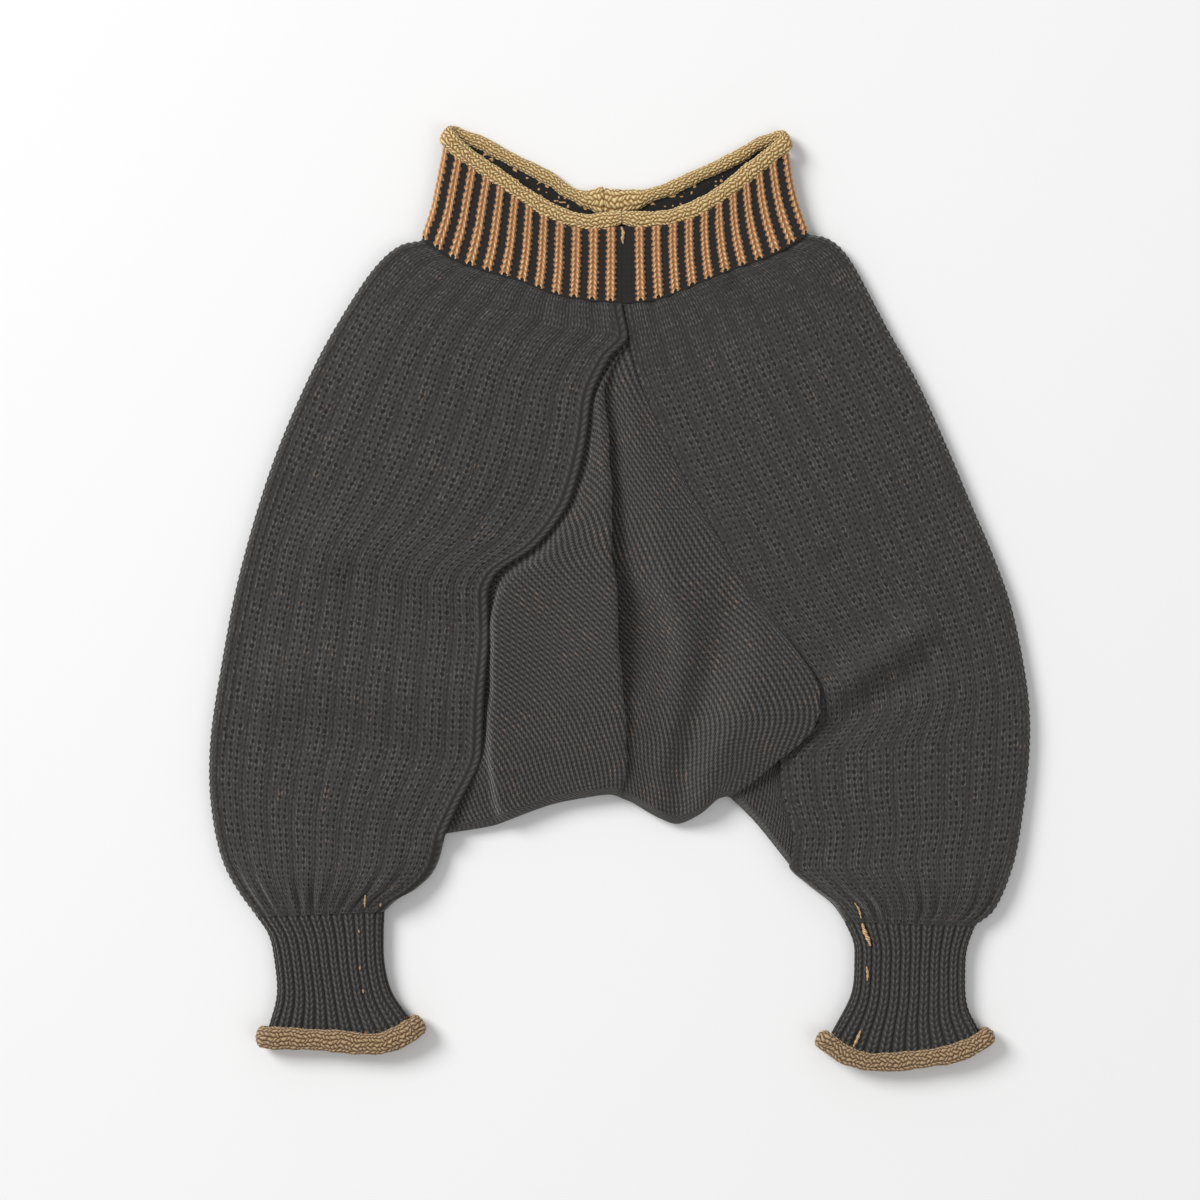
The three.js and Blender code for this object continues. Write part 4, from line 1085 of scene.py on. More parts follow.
def make_waistband(side, material, inside):
    rows = BAND_COURSES * BAND_MESH.rows + 1
    steps = np.linspace(0, 1, rows)
    side_edge = smooth_line(WAIST_SIDE[side])(steps)
    settle = np.column_stack([np.zeros(rows), SEAM_TOUCH * np.maximum(0, 1 - steps * BAND_SETTLE)])

    def plan_of(face):
        bottom = WAIST_SEAM[side][face]
        top_line = band_top(side, face)
        centre = mix(np.array(bottom[0], float), np.array(top_line[0], float), steps[:, None])
        inner = shifted(centre, OUTWARDS[side] * SEAM_TOUCH / 2)
        plan = plan_between(inner, side_edge, smooth_line(bottom), smooth_line(top_line))
        return lambda u: plan(u) + settle

    def relief(wale, course):
        off = stripe_share(side, wale)
        foot = STRIPE_FOOT + np.abs(np.abs(off) - STRIPE_PRONG) * STRIPE_POINT
        raised = ease((STRIPE_HALF + STRIPE_SLOPE - np.abs(off)) / (2 * STRIPE_SLOPE))
        raised *= ease((course - foot) / STRIPE_FOOT_BLEND) * has_stripes(side, wale)
        return raised * (STRIPE_RISE + (stripe_stitch(off, course) - 0.5) * BAND_STITCH_DEPTH)

    piece = SimpleNamespace(
        rows=rows, cloth=BAND_CLOTH, edge_height=BAND_EDGE_HEIGHT, edge_steps=0, edge_wales=0,
        wales=1, fold_wales=0.14, courses=BAND_COURSES, closed=None, stitches=None, inside_front=None,
        outside=SimpleNamespace(across=BAND_MESH.stripes * BAND_MESH.columns, fold=20, under=30),
        inside=SimpleNamespace(across=10, fold=4, under=10),
        front=plan_of("front"), back=plan_of("back"), relief=relief,
        top=lambda plan, u: BAND_EDGE_HEIGHT + BAND_SWELL * np.sin(math.pi * u) + np.zeros(rows),
    )
    return folded_piece(f"knit_waistband_{side}", piece, [material, inside])


def make_cuff(side, material):
    rows = CUFF_COURSES * CUFF_MESH.rows + 1
    steps = np.linspace(0, 1, rows)
    cuff = CUFF[side]
    inner = smooth_line(cuff["inner"])(steps)
    outer = smooth_line(cuff["outer"])(steps)
    top_line = smooth_line([cuff["inner"][0], cuff["outer"][0]])
    plan = plan_between(inner, outer, top_line, smooth_line(cuff["bottom"]))
    settle = np.column_stack([np.zeros(rows), -SEAM_TOUCH / 2 * np.maximum(0, 1 - steps * BAND_SETTLE)])

    def relief(wale, course):
        groove = near_multiple(wale, 1, CUFF_GROOVE.half) * CUFF_GROOVE.depth
        return (cuff_rib(wale, course) - CUFF_STITCH_LEVEL) * CUFF_STITCH_DEPTH - groove

    piece = SimpleNamespace(
        rows=rows, cloth=CUFF_CLOTH, edge_height=CUFF_EDGE_HEIGHT, edge_steps=12, edge_wales=1.45,
        wales=CUFF_RIBS, fold_wales=2.9, courses=CUFF_COURSES, closed=np.ones(rows), stitches=None,
        outside=SimpleNamespace(across=CUFF_RIBS * CUFF_MESH.columns, fold=30, under=26),
        inside=SimpleNamespace(across=8, fold=4, under=5), inside_front=None,
        front=lambda u: plan(u) + settle,
        back=lambda u: plan(u) + settle,
        top=lambda spots, u: CUFF_EDGE_HEIGHT + np.zeros(rows),
        relief=relief,
    )
    return folded_piece(f"knit_cuff_{side}", piece, [material])


RING_STEP = 0.01


def line_rings(table, closeness, upwards, half):
    """Centres, directions and half widths of rings along a line, so many to a millimetre."""
    line = smooth_line(table)
    steps = round(run_along(np.asarray(table, float))[-1] * closeness)
    share = np.linspace(0, 1, steps + 1)
    along = line(np.clip(share + RING_STEP, 0, 1)) - line(np.clip(share - RING_STEP, 0, 1))
    along[:, 2] = 0
    along /= length_of(along)[:, None]
    level = np.zeros(steps + 1)
    side = np.column_stack([-along[:, 1], along[:, 0], level]) * upwards
    up = np.column_stack([level, level, level + upwards])
    return SimpleNamespace(centre=line(share), along=along, side=side, up=up, half=level + half, rise=level)


def turn_rings(start, end):
    """Rings round the half turn from the end of one line to the start of another, which runs back."""
    steps = ROLL_RINGS.turn
    angle = (math.pi * np.arange(1, steps) / steps)[:, None]
    across = (1 - np.cos(angle)) / 2
    way = end.centre[0] - start.centre[-1]
    out = start.along[-1] - end.along[0]
    out /= length_of(out)
    reach = length_of(way) / 2
    centre = start.centre[-1] + way * across + out * reach * np.sin(angle)
    along = way * np.sin(angle) / 2 + out * reach * np.cos(angle)
    along /= length_of(along)[:, None]
    side = mix(start.side[-1], end.side[0], across)
    side -= along * (side * along).sum(1)[:, None]
    side /= length_of(side)[:, None]
    half = mix(start.half[-1], end.half[0], across[:, 0])
    rise = mix(start.rise[-1], end.rise[0], across[:, 0])
    return SimpleNamespace(
        centre=centre, along=along, side=side, up=np.cross(along, side), half=half, rise=rise
    )


def shape_waist_seams(front, back):
    """The notch at the front's seam, and the bulge and the knot at the back's."""
    notch = np.exp(-((front.centre[:, 0] - FRONT_NOTCH.x) / FRONT_NOTCH.half) ** 2)
    front.half = front.half - FRONT_NOTCH.narrower * notch
    front.centre[:, 1] += FRONT_NOTCH.raised * notch
    bulge = np.exp(-((back.centre[:, 0] - BACK_BULGE.x) / BACK_BULGE.half) ** 4)
    knot = np.exp(-((back.centre[:, 0] - BACK_KNOT.x) / BACK_KNOT.half) ** 2)
    back.half = back.half + BACK_BULGE.wider * bulge + BACK_KNOT.wider * knot
    back.centre[:, 1] -= BACK_BULGE.nearer * bulge
    back.rise = back.rise + BACK_BULGE.higher * bulge


def roll_rings(lines, size, loop):
    """Rings along the front, round the outer turn and along the back, and round to the start in a loop."""
    front = line_rings(lines["front"], ROLL_RINGS.front, 1, size.front)
    back = line_rings(lines["back"], ROLL_RINGS.back, -1, size.back)
    if not loop:
        shape_waist_seams(front, back)
    parts = [front, turn_rings(front, back), back]
    if loop:
        parts.append(turn_rings(back, front))
    keys = ("centre", "side", "up", "half", "rise")
    return SimpleNamespace(**{key: np.concatenate([getattr(part, key) for part in parts]) for key in keys})


def tube_faces(count, sides, loop=False):
    """Faces round a tube of rings, which is closed at both ends or joined in a loop."""
    index = np.arange(count * sides).reshape(count, sides)
    if loop:
        index = np.vstack([index, index[:1]])
    turned = np.roll(index, -1, axis=1)
    faces = np.stack([index[:-1], turned[:-1], turned[1:], index[1:]], -1).reshape(-1, 4).tolist()
    if not loop:
        faces += [tuple(index[0, ::-1].tolist()), tuple(index[-1].tolist())]
    return faces


ROLL_SIDES = 54
ROLL_END = 0.5
# How far the stitches of a roll stray, in stitches, and how often along it, by the millimetre
STRAY = SimpleNamespace(row=0.22, row_rate=0.47, twist=0.16, twist_rate=1.9, wale=0.22, wale_rate=0.83)
# How far a roll's thickness strays, as shares of it, and how often
ROLL_WOBBLE = SimpleNamespace(long=0.05, long_rate=0.21, short=0.03, short_rate=0.63)
BRAID_LEVEL = 0.6


def end_shares(run):
    """Thickness of each ring of an open roll, which narrows a little at both ends."""
    share = np.ones(len(run))
    for end_run in (run, run[-1] - run):
        near_end = 1 - np.minimum(1, end_run / ROLL_END)
        share = np.minimum(share, np.sqrt(np.clip(1 - near_end**2, 0.5, 1)))
    return share[:, None]


def make_roll(name, lines, size, loop, material):
    """A rolled edge with plump stitches in rows along it."""
    rings = roll_rings(lines, size, loop)
    run = run_along(rings.centre)
    wales = round(run[-1] / ROLL_STITCH)
    run = run[:, None]
    girth = math.pi * math.sqrt(2 * (size.front**2 + size.height**2))
    rows = 2 * round(girth / ROLL_ROW / 2)
    angle = 2 * math.pi * np.arange(ROLL_SIDES) / ROLL_SIDES
    wale = run / run[-1] * wales + STRAY.wale * np.sin(angle * 3 + run * STRAY.wale_rate)
    course = angle / (2 * math.pi) * rows + np.sin(run * STRAY.row_rate) * STRAY.row
    course = course + np.sin(run * STRAY.twist_rate) * np.cos(angle * 2) * STRAY.twist
    relief = (braid(wale, course) - BRAID_LEVEL) * ROLL_STITCH_DEPTH
    wobble = 1 + ROLL_WOBBLE.long * np.sin(run * ROLL_WOBBLE.long_rate)
    wobble = wobble + ROLL_WOBBLE.short * np.sin(run * ROLL_WOBBLE.short_rate + 1)
    thick = 1 if loop else end_shares(run[:, 0])
    aside = (rings.half[:, None] * wobble + relief) * np.cos(angle) * thick
    rise = (size.height + rings.rise[:, None] + relief) * np.sin(angle) * thick
    points = rings.side[:, None] * aside[..., None] + rings.up[:, None] * rise[..., None]
    points = (points + rings.centre[:, None]).reshape(-1, 3)
    points[:, 2] = np.maximum(points[:, 2], 0)
    faces = outwards(points, tube_faces(len(run), ROLL_SIDES, loop))
    stitches = np.stack([wale, course], -1).reshape(-1, 2)
    return make_piece(name, points, faces, stitches, [material])


def cuff_roll_lines(side):
    share = np.linspace(0, 1, EDGE_SAMPLES)
    samples = smooth_line(CUFF[side]["bottom"])(share)
    line = shifted(samples, OUTWARDS[side] * (CUFF_ROLL[side].front - CUFF_ROLL_TUCK))
    line[:, 1] -= CUFF_ROLL_DROOP * np.abs(2 * share - 1) ** 3 * (1.5 - share)
    front = np.column_stack([line, np.full(EDGE_SAMPLES, CUFF_ROLL_HEIGHT.front)])
    back = np.column_stack([line, np.full(EDGE_SAMPLES, CUFF_ROLL_HEIGHT.back)])[::-1]
    return {"front": front, "back": back}
# Places of the ochre yarn that shows beside the inseams and at the notch: radius, then x and y
YARN_ENDS = {
    "leg_left": [
        (0.5, [(-127, -147), (-127.5, -153.5)]),
        (0.6, [(-119.3, -151.5), (-119.8, -153)]),
    ],
    "cuff_left": [
        (0.55, [(-130.5, -164.8), (-130.3, -166.5)]),
        (0.55, [(-130, -183), (-130, -185)]),
        (0.55, [(-128.5, -194.5), (-128.2, -196.5)]),
    ],
    "leg_right": [
        (0.5, [(117, -151), (119.3, -154.5), (120.6, -159.5)]),
    ],
    "cuff_right": [
        (1, [(121, -161.5), (122.4, -166), (124.2, -170), (125.2, -173)]),
        (0.6, [(123.2, -183), (123.8, -187), (123.5, -190.5)]),
        (0.7, [(120.3, -215), (118.5, -219.5), (116.5, -223.5)]),
    ],
    "waistband_right": [
        (0.8, [(0.6, 186.5), (1.6, 183.5), (1.2, 180), (1.6, 178)]),
    ],
}
YARN_SIDES = 8
YARN_STEPS = 24
YARN_SEARCH = 1.2
YARN_SMOOTHING = 2
YARN_LIFT = 0.2
YARN_WOBBLE = SimpleNamespace(share=0.25, turns=21)
YARN_TWIST = 9


def front_height(piece, places):
    """Height of the front of a piece at some places, in millimetres of the drawing."""
    spots = np.empty(len(piece.data.vertices) * 3)
    piece.data.vertices.foreach_get("co", spots)
    spots = spots.reshape(-1, 3) / MM - (garment.x, garment.y, 0)
    heights = []
    for place in places:
        near = length_of(spots[:, :2] - place) < YARN_SEARCH
        heights.append(spots[near, 2].max() if near.any() else BAND_EDGE_HEIGHT)
    return np.array(heights)


def make_yarn(name, piece, radius, table, material):
    """A frayed end of yarn that lies on the front of a piece."""
    share = np.linspace(0, 1, YARN_STEPS + 1)
    line = smooth_line(table)(share)
    heights = np.pad(front_height(piece, line), YARN_SMOOTHING, mode="edge")
    span = 2 * YARN_SMOOTHING + 1
    heights = np.convolve(heights, np.full(span, 1 / span), mode="valid") + radius * YARN_LIFT
    ahead = np.gradient(line, axis=0)
    ahead /= length_of(ahead)[:, None]
    side = np.column_stack([-ahead[:, 1], ahead[:, 0]])
    taper = np.sqrt(np.clip(4 * share * (1 - share), 0.04, 1))
    thick = radius * taper * (1 + YARN_WOBBLE.share * np.sin(share * YARN_WOBBLE.turns))
    angle = 2 * math.pi * np.arange(YARN_SIDES) / YARN_SIDES
    across = thick[:, None] * np.cos(angle)
    points = np.empty((YARN_STEPS + 1, YARN_SIDES, 3))
    points[..., :2] = line[:, None] + side[:, None] * across[..., None]
    points[..., 2] = heights[:, None] + thick[:, None] * np.sin(angle)
    turns = np.stack([share[:, None] * YARN_TWIST + angle / 2, np.broadcast_to(angle, across.shape)], -1)
    points = points.reshape(-1, 3)
    faces = outwards(points, tube_faces(YARN_STEPS + 1, YARN_SIDES))
    return make_piece(name, points, faces, turns.reshape(-1, 2), [material])
# Materials

WOOL = {"Roughness": 0.9, "Specular IOR Level": 0.2, "Sheen Weight": 0.25, "Sheen Roughness": 0.45}
# Sizes in metres of the yarn's fibres and tufts, and how much of the relief the fibres make
FIBRE = 0.0005
STRAND_FIBRE = 0.0006
TUFT = 0.0011
FIBRE_SHARE = 0.5


def link(tree, start, end):
    tree.links.new(start, end)


def stitch_fields(tree):
    """Wale and course at each point."""
    source = tree.nodes.new("ShaderNodeUVMap")
    source.uv_map = "knit"
    split = tree.nodes.new("ShaderNodeSeparateXYZ")
    link(tree, source.outputs[0], split.inputs[0])
    return Field(tree, split.outputs[0]), Field(tree, split.outputs[1])


def noise_field(tree, size, detail=2.0, spread=0.5):
    """Noise with blobs of the given size in metres, from about 0 to 1."""
    place = tree.nodes.new("ShaderNodeTexCoord")
    noise = tree.nodes.new("ShaderNodeTexNoise")
    noise.inputs["Scale"].default_value = 1 / size
    noise.inputs["Detail"].default_value = detail
    noise.inputs["Roughness"].default_value = spread
    link(tree, place.outputs["Object"], noise.inputs["Vector"])
    return Field(tree, noise.outputs[0])


def stray(tree, size):
    """Noise round 0, from about -0.5 to 0.5."""
    return noise_field(tree, size) - 0.5


def ramp(field, low, high):
    """0 below low, 1 above high and smooth between."""
    tree = field.tree
    node = tree.nodes.new("ShaderNodeMapRange")
    node.interpolation_type = "SMOOTHSTEP"
    node.inputs["From Min"].default_value = low
    node.inputs["From Max"].default_value = high
    link(tree, field.socket, node.inputs["Value"])
    return Field(tree, node.outputs["Result"])


def blend_colours(tree, first, second, share):
    """A colour socket between two colours, each a colour or a socket."""
    node = tree.nodes.new("ShaderNodeMix")
    node.data_type = "RGBA"
    for slot, colour in ((node.inputs[6], first), (node.inputs[7], second)):
        if isinstance(colour, tuple):
            slot.default_value = (*colour, 1)
        else:
            link(tree, colour, slot)
    link(tree, share.socket, node.inputs[0])
    return node.outputs[2]


def knit_material(name, paint, bump=0.0004):
    """Matt wool. paint gives the colour and the height of the yarn from the stitch count."""
    material = bpy.data.materials.new(name)
    material.use_nodes = True
    tree = material.node_tree
    shader = tree.nodes["Principled BSDF"]
    for key, value in WOOL.items():
        shader.inputs[key].default_value = value
    wale, course = stitch_fields(tree)
    colour, height = paint(tree, wale, course)
    link(tree, colour, shader.inputs["Base Color"])
    fibre = noise_field(tree, FIBRE, detail=3.0, spread=0.6) * FIBRE_SHARE
    node = tree.nodes.new("ShaderNodeBump")
    node.inputs["Distance"].default_value = bump
    node.inputs["Strength"].default_value = 1
    link(tree, (height + fibre).socket, node.inputs["Height"])
    link(tree, node.outputs["Normal"], shader.inputs["Normal"])
    return material


def yarn_colour(tree, height, shade_colour, plain, low, high):
    """Colour of one yarn, with painted shade in the hollows, and a little uneven."""
    return blend_colours(tree, shade_colour, plain, ramp(height + stray(tree, 0.0012) * 0.5, low, high))


def stitch_chances(tree, wale, course):
    """Three numbers from 0 to 1 that differ from stitch to stitch."""
    join = tree.nodes.new("ShaderNodeCombineXYZ")
    link(tree, whole(wale).socket, join.inputs[0])
    link(tree, whole(course).socket, join.inputs[1])
    noise = tree.nodes.new("ShaderNodeTexWhiteNoise")
    noise.noise_dimensions = "2D"
    link(tree, join.outputs[0], noise.inputs["Vector"])
    split = tree.nodes.new("ShaderNodeSeparateXYZ")
    link(tree, noise.outputs["Color"], split.inputs[0])
    return [Field(tree, output) for output in split.outputs]


WARM_PATCH = SimpleNamespace(size=0.017, blend=0.16)


def warm_flecks(tree, chance, height, least):
    """Stitches in patches where a warmer fibre shows."""
    noise = noise_field(tree, WARM_PATCH.size, detail=1.0)
    patch = ramp(noise, least, least + WARM_PATCH.blend)
    return ramp(chance, 0.55, 0.95) * ramp(height, 0.3, 0.8) * patch


def purl_columns(place):
    """1 on the last column of each rib, which is purl."""
    off = size_of(part_of(place * (1 / LEG_RIB.wales) + 0.5) - 0.5) * LEG_RIB.wales
    return 1 - ramp(off, 0.35, 0.65)


# Unevenness of the legs' stitches: how far they stray, in stitches, and over what size in metres
LEG_STRAY = SimpleNamespace(wale=0.4, wale_size=0.0032, course=0.6, course_size=0.0043)
# The gap in each stitch, darkened with painted shade: its half sizes, how far it strays, and how much its
# depth varies
LEG_GAP = SimpleNamespace(
    wide=0.27, tall=0.32, aside=0.26, along=0.22, chance=0.9, tuft=0.5, from_level=-0.45, to_level=0.9,
    at_purl=0.45, at_waist=0.5, depth=0.8,
)
# Painted highlight on the legs' raised yarn: how much tufts and chance move it, and the levels it runs
# between
LEG_HIGHLIGHT = SimpleNamespace(tuft=1.1, chance=0.6, from_level=0.42, to_level=1.1)
# Share of each form in the material's relief
LEG_RELIEF = SimpleNamespace(yarn=0.5, chain=0.9, purl=0.15)
# Painted light on each form: shade of the purl columns and between the waist's pressed ribs, highlight on
# the bold column and shade in its valley; and how warm the flecks are
LEG_SHADE = SimpleNamespace(
    purl=0.2, pressed=0.4, chain=0.5, valley=0.75, valley_to=0.45, warm=0.35, warm_from=0.54
)
# Courses over which the waist's pressed look, painted shade between its ribs, fades
LEG_PRESSED = SimpleNamespace(first=5, last=17)


def leg_gaps(place, level, chances, uneven):
    """The gap in every stitch, for its painted shade and its dip, each a little elsewhere and of another
    depth.
    """
    aside, along, chance = chances
    across = place + (aside - 0.5) * LEG_GAP.aside
    down = level + (along - 0.5) * LEG_GAP.along
    spot = stitch_gap(across, down, LEG_GAP.wide, LEG_GAP.tall)
    depth = spot + (chance - 0.5) * LEG_GAP.chance + uneven * LEG_GAP.tuft
    return ramp(depth, LEG_GAP.from_level, LEG_GAP.to_level)


def painted_crease_shade(wale, course):
    """Painted shade of the crease pressed along the left leg's outer fold."""
    line = 1 - ramp(size_of(wale - CREASE_SHADE.wale), CREASE_SHADE.core, CREASE_SHADE.half)
    line = line * ramp(course, CREASE_SHADE.first, CREASE_SHADE.first + CREASE_SHADE.blend)
    line = line * (1 - ramp(course, CREASE_SHADE.last - CREASE_SHADE.blend, CREASE_SHADE.last))
    return line * CREASE_SHADE.depth


def leg_paint(side):
    """Plain and purl columns with a gap in every stitch, and a bold column along the gusset's seam. Painted
    highlight lies on the raised yarn and the bold column, and painted shade in the gaps, the purl columns,
    between the waist's pressed ribs and in the bold column's valley.
    """
    def paint(tree, wale, course):
        drift = stray(tree, LEG_STRAY.wale_size)
        uneven = stray(tree, TUFT)
        place = wale + drift * LEG_STRAY.wale
        level = course + stray(tree, LEG_STRAY.course_size) * LEG_STRAY.course
        chances = stitch_chances(tree, place + 0.5, level)
        purl = purl_columns(place)
        yarn = plain_stitch(place + 0.5, level + purl * 0.5)
        at_waist = 1 - ramp(course, LEG_PRESSED.first, LEG_PRESSED.last)
        chain = below(wale, CHAIN_WALES[side])
        beyond = 1 - chain
        bold = chain_stitch(side, wale, level)
        gap = leg_gaps(place, level, chances, uneven) * beyond
        gap = gap * (1 - purl * LEG_GAP.at_purl) * (1 - at_waist * LEG_GAP.at_waist)
        height = yarn * beyond * LEG_RELIEF.yarn + chain * bold * LEG_RELIEF.chain
        height = height - gap * LEG_GAP.depth - purl * LEG_RELIEF.purl
        # Painted highlight on the raised yarn and on the bold column
        lit = yarn + uneven * LEG_HIGHLIGHT.tuft + (chances[2] - 0.5) * LEG_HIGHLIGHT.chance
        light = ramp(lit, LEG_HIGHLIGHT.from_level, LEG_HIGHLIGHT.to_level) * beyond
        light = light + bold * chain * LEG_SHADE.chain
        valley = (1 - ramp(bold, 0.0, LEG_SHADE.valley_to)) * chain * LEG_SHADE.valley
        colour = blend_colours(tree, CHARCOAL, CHARCOAL_HIGHLIGHT, light)
        # Painted shade in the gaps and purl columns, between the waist's pressed ribs and in the bold
        # column's valley
        shades = [
            gap + purl * LEG_SHADE.purl,
            wave(place * 2 + drift) * at_waist * LEG_SHADE.pressed,
            valley,
        ]
        for shade in shades:
            colour = blend_colours(tree, colour, CHARCOAL_SHADE, shade)
        warm = warm_flecks(tree, chances[0], light, LEG_SHADE.warm_from) * LEG_SHADE.warm
        colour = blend_colours(tree, colour, WARM, warm)
        # Painted shade of the crease along the left leg's outer fold
        if side == "left":
            colour = blend_colours(tree, colour, CHARCOAL_SHADE, painted_crease_shade(wale, course))
        return colour, height
    return paint


CUFF_STRAY = SimpleNamespace(size=0.0025, wale=0.12, course=0.3, spike=2.5)
# The gap in each cuff stitch: how low it sits, its half sizes, its painted shade and its dip
CUFF_GAP = SimpleNamespace(lower=0.15, wide=0.17, tall=0.3, shade=0.75, depth=0.5)
CUFF_SPIKE = SimpleNamespace(slope=4, foot=1.6)


def cuff_paint(tree, wale, course):
    """Plain columns with narrow grooves between, and the roll's yarn showing in the grooves at the foot.
    The columns have painted highlights, the gaps and grooves painted shade, and the roll's yarn is its own
    colour in painted shade.
    """
    drift = stray(tree, CUFF_STRAY.size)
    uneven = stray(tree, TUFT)
    place = wale + drift * CUFF_STRAY.wale
    level = course + drift * CUFF_STRAY.course
    height = cuff_rib(place, level)
    spot = stitch_gap(place + 0.5, level + CUFF_GAP.lower, CUFF_GAP.wide, CUFF_GAP.tall)
    gap = ramp(spot + uneven, -0.1, 0.8)
    # Painted highlight on the raised columns, and painted shade in each stitch's gap and in the grooves
    plain = blend_colours(tree, CHARCOAL, CHARCOAL_HIGHLIGHT, ramp(height + uneven, 0.3, 1.0))
    plain = blend_colours(tree, plain, CHARCOAL_SHADE, gap * CUFF_GAP.shade)
    colour = blend_colours(tree, CHARCOAL_SHADE, plain, ramp(height + uneven * 0.5, -0.2, 0.25))
    # The roll's yarn in the grooves at the foot, its own colour in painted shade
    edge = size_of(part_of(place) - 0.5)
    reach = edge * CUFF_SPIKE.slope - CUFF_SPIKE.foot + drift * CUFF_STRAY.spike
    spike = below(CUFF_COURSES - course, reach)
    return blend_colours(tree, colour, OCHRE_SHADE, spike), height - gap * CUFF_GAP.depth


GUSSET_STRAY = SimpleNamespace(size=0.004, wale=0.25, course=0.35, tuft=0.0009)
GUSSET_WARM = SimpleNamespace(least=0.46, share=0.42, gain=1.3, level=0.3)


def gusset_paint(tree, wale, course):
    """Fine ridges with checks, painted lighter on their raised parts as highlight and darker in their
    hollows as shade, and warm flecks in patches.
    """
    drift = stray(tree, GUSSET_STRAY.size)
    place = wale + drift * GUSSET_STRAY.wale
    level = course + drift * GUSSET_STRAY.course
    height = gusset_knit(place, level)
    chance = stitch_chances(tree, place + 0.5, level + 0.5)[0]
    uneven = stray(tree, GUSSET_STRAY.tuft)
    # Painted highlight on the ridges' tops and painted shade in their hollows
    light = ramp(height + uneven * 0.9, 0.42, 0.92)
    plain = blend_colours(tree, CHARCOAL, CHARCOAL_HIGHLIGHT, light)
    colour = blend_colours(tree, CHARCOAL_SHADE, plain, ramp(height + uneven * 0.5, 0.1, 0.6))
    shown = height * GUSSET_WARM.gain + uneven - GUSSET_WARM.level
    warm = warm_flecks(tree, chance, shown, GUSSET_WARM.least) * GUSSET_WARM.share
    return blend_colours(tree, colour, WARM, warm), height


# Ragged edges of the stripes: how much each stitch and each size of noise moves them
STRIPE_RAG = SimpleNamespace(
    stitch=0.10, phase=0.35, fine=0.16, fine_size=0.0018, broad=0.12, broad_size=0.006
)
STRIPE_STRAY = SimpleNamespace(course=0.4, size=0.003)
# Courses over which the stripes' painted highlight grows duller towards the roll, and by how much
STRIPE_DULL = SimpleNamespace(first=2, last=12, share=0.6)
# How far and how wide the stripes' rims reach, where painted shade lies
STRIPE_RIM = SimpleNamespace(overlap=0.02, width=0.07)
BAND_PURLS = 40


def band_paint(side):
    """Ochre stripes of plain stitches over charcoal, with painted highlights on their stitches that grow
    duller towards the roll, and painted shade at the stripes' rims, in their stitches' hollows and over the
    charcoal, most of all between its purl bumps.
    """
    def paint(tree, wale, course):
        off = stripe_share(side, wale)
        uneven = stray(tree, TUFT)
        level = course + stray(tree, STRIPE_STRAY.size) * STRIPE_STRAY.course
        stitch = stripe_stitch(off, level)
        ragged = (wave(level + STRIPE_RAG.phase) - 0.5) * STRIPE_RAG.stitch
        ragged = ragged + stray(tree, STRIPE_RAG.fine_size) * STRIPE_RAG.fine
        ragged = ragged + stray(tree, STRIPE_RAG.broad_size) * STRIPE_RAG.broad
        edge = size_of(off) - ragged
        foot = size_of(edge - STRIPE_PRONG) * STRIPE_POINT + STRIPE_FOOT
        stripe = below(edge, STRIPE_HALF) * (1 - below(course, foot)) * has_stripes(side, wale)
        dull = ramp(course, STRIPE_DULL.first, STRIPE_DULL.last) * STRIPE_DULL.share
        # Painted highlight on the stripes' stitches, duller towards the roll
        bright = ramp(stitch + uneven * 1.1, 0.45, 1.05) * (1 - dull)
        ochre = blend_colours(tree, OCHRE, OCHRE_HIGHLIGHT, bright)
        # Painted shade at the stripes' rims and in their stitches' hollows
        rim = ramp(STRIPE_HALF + STRIPE_RIM.overlap - edge, 0.0, STRIPE_RIM.width)
        hollow = ramp(stitch + uneven * 0.6, 0.0, 0.5) * rim
        ochre = blend_colours(tree, OCHRE_SHADE, ochre, hollow)
        # Charcoal between the stripes, darkened with painted shade, most of all between its purl bumps
        bumps = purl_bump(wale * BAND_PURLS, course)
        charcoal = yarn_colour(tree, bumps, CHARCOAL_SHADE, CHARCOAL, 0.3, 2.6)
        return blend_colours(tree, charcoal, ochre, stripe), stitch * stripe
    return paint


INSIDE_FLECK = SimpleNamespace(size=0.0021, least=0.69, most=0.72)


def inside_paint(tree, wale, course):
    """The waistband's wrong side: its own charcoal darkened with painted shade, with flecks of the stranded
    ochre yarn.
    """
    noise = noise_field(tree, INSIDE_FLECK.size, detail=0.0)
    fleck = ramp(noise, INSIDE_FLECK.least, INSIDE_FLECK.most)
    colour = blend_colours(tree, CHARCOAL_INSIDE_SHADED, OCHRE, fleck)
    return colour, fleck


def strand_paint(tree, wale, course):
    """Loose ochre yarn, with its fibres along it, painted darker in the grooves of its twist as shade and
    lighter on its plies as highlight.
    """
    height = wave(wale) * 0.5 + noise_field(tree, STRAND_FIBRE) * 0.5
    return blend_colours(tree, OCHRE_SHADE, OCHRE_HIGHLIGHT, ramp(height, 0.2, 0.8)), height


def roll_paint(shade_colour, plain):
    """Plump stitches of one yarn, with painted shade between them."""
    def paint(tree, wale, course):
        height = braid(wale, course)
        return yarn_colour(tree, height, shade_colour, plain, 0.05, 0.75), height
    return paint


gusset_material = knit_material("charcoal_plain_knit", gusset_paint, bump=0.0009)
cuff_material = knit_material("charcoal_cuff_rib", cuff_paint)
inside_material = knit_material("waistband_wrong_side", inside_paint)
waist_roll_material = knit_material("gold_roll", roll_paint(GOLD_SHADE, GOLD))
cuff_roll_material = knit_material("tan_roll", roll_paint(TAN_SHADE, TAN))
strand_material = knit_material("ochre_strand", strand_paint)


# The garment's pieces, each standing for its solid

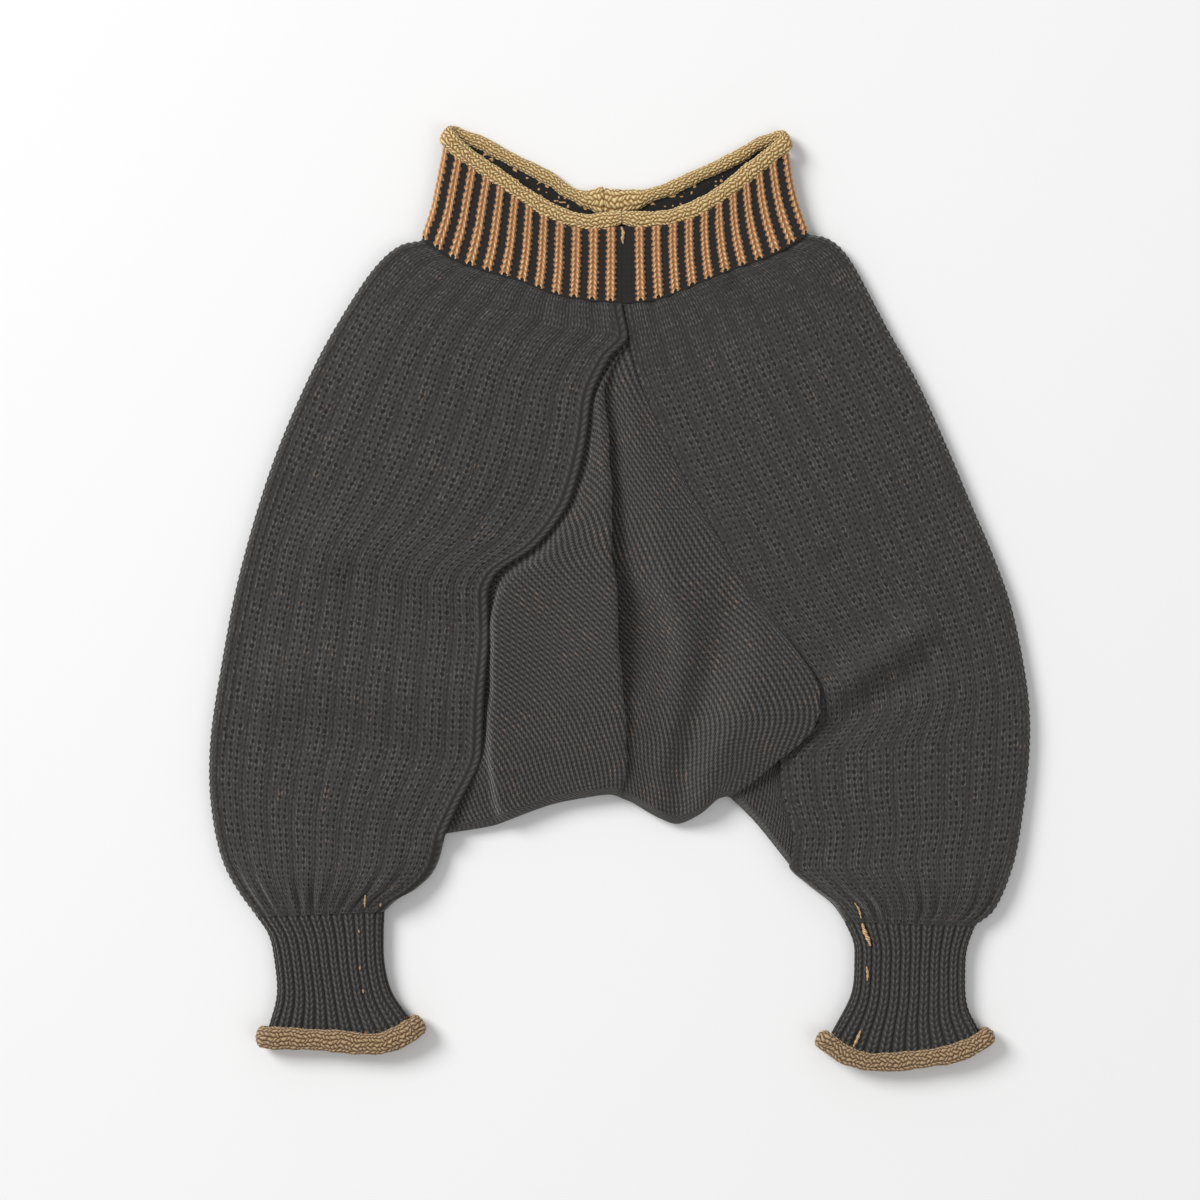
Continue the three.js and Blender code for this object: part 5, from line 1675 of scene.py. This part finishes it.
# Flat cut of each piece in metres: width and length, and its area where it isn't a rectangle
CUTS = {
    "gusset": SimpleNamespace(flat=(0.250, 0.250), area=None),
    "leg": SimpleNamespace(flat=(0.280, 0.350), area=0.084),
    "waistband": SimpleNamespace(flat=(0.200, 0.045), area=None),
    "waist_roll": SimpleNamespace(flat=(0.200, 0.013), area=None),
    "cuff": SimpleNamespace(flat=(0.120, 0.060), area=None),
    "cuff_roll": SimpleNamespace(flat=(0.150, 0.016), area=None),
}


def dress(piece, node):
    """Let a piece stand for its node, with the strands of yarn that lie on it."""
    for count, (radius, table) in enumerate(YARN_ENDS.get(node, [])):
        strand = make_yarn(f"strand_{node}_{count}", piece, radius, table, strand_material)
        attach(strand, "root")
    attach(piece, "root")
    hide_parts(node)


dress(make_gusset(gusset_material), "gusset")
for side in SIDES:
    band_material = knit_material(f"stripes_{side}", band_paint(side))
    leg_material = knit_material(f"charcoal_rib_{side}", leg_paint(side))
    dress(make_leg(side, leg_material), f"leg_{side}")
    dress(make_waistband(side, band_material, inside_material), f"waistband_{side}")
    name = f"waist_roll_{side}"
    roll = make_roll(f"knit_{name}", WAIST_ROLL_LINE[side], WAIST_ROLL, False, waist_roll_material)
    dress(roll, name)
    dress(make_cuff(side, cuff_material), f"cuff_{side}")
    name = f"cuff_roll_{side}"
    roll = make_roll(f"knit_{name}", cuff_roll_lines(side), CUFF_ROLL[side], True, cuff_roll_material)
    dress(roll, name)


# Stage, light and camera, with places in metres and powers in watts

FLOOR = SimpleNamespace(reach=3.0, below=0.0002, tone=0.8, roughness=0.9)
WORLD_STRENGTH = 0.5
LIGHTS = {
    "key": SimpleNamespace(place=(-3.1, 2.2, 2.9), size=2.2, power=215),
    "fill": SimpleNamespace(place=(2.2, -1.4, 3), size=2.4, power=22),
}


def make_floor():
    mesh = bpy.data.meshes.new("floor")
    signs = [(-1, -1), (1, -1), (1, 1), (-1, 1)]
    corners = [(x * FLOOR.reach, y * FLOOR.reach, -FLOOR.below) for x, y in signs]
    mesh.from_pydata(corners, [], [(0, 1, 2, 3)])
    floor = bpy.data.objects.new("floor", mesh)
    material = bpy.data.materials.new("floor")
    material.use_nodes = True
    shader = material.node_tree.nodes["Principled BSDF"]
    shader.inputs["Base Color"].default_value = (FLOOR.tone, FLOOR.tone, FLOOR.tone, 1)
    shader.inputs["Roughness"].default_value = FLOOR.roughness
    mesh.materials.append(material)
    bpy.context.scene.collection.objects.link(floor)


def make_light(name, place, size, power):
    data = bpy.data.lights.new(name, "AREA")
    data.shape = "DISK"
    data.size = size
    data.energy = power
    light = bpy.data.objects.new(name, data)
    light.location = place
    light.rotation_mode = "QUATERNION"
    light.rotation_quaternion = (-Vector(place)).to_track_quat("-Z", "Y")
    bpy.context.scene.collection.objects.link(light)


def make_world(strength):
    world = bpy.data.worlds.new("studio")
    world.use_nodes = True
    background = world.node_tree.nodes["Background"]
    background.inputs["Color"].default_value = (1, 1, 1, 1)
    background.inputs["Strength"].default_value = strength
    bpy.context.scene.world = world


# The photo's width in pixels, a pixel's size in millimetres, and the pixel of the drawing's origin
PHOTO_WIDTH = 1200
PIXEL = 0.5
PHOTO_ORIGIN = (620, 600)
LENS = 85
SENSOR = 36
CLOTH_TOP = 8
VIEW_END = 20


def make_camera():
    data = bpy.data.cameras.new("camera")
    data.lens = LENS
    data.sensor_width = SENSOR
    data.clip_end = VIEW_END
    camera = bpy.data.objects.new("camera", data)
    middle = PHOTO_WIDTH / 2
    x = (middle - PHOTO_ORIGIN[0]) * PIXEL
    y = (PHOTO_ORIGIN[1] - middle) * PIXEL
    away = PHOTO_WIDTH * PIXEL * LENS / SENSOR
    camera.location = garment.place([(x, y, away + CLOTH_TOP)])[0]
    bpy.context.scene.collection.objects.link(camera)
    bpy.context.scene.camera = camera


make_floor()
make_world(WORLD_STRENGTH)
for name, light in LIGHTS.items():
    make_light(name, light.place, light.size, light.power)
make_camera()
bpy.context.scene.view_settings.view_transform = "Standard"
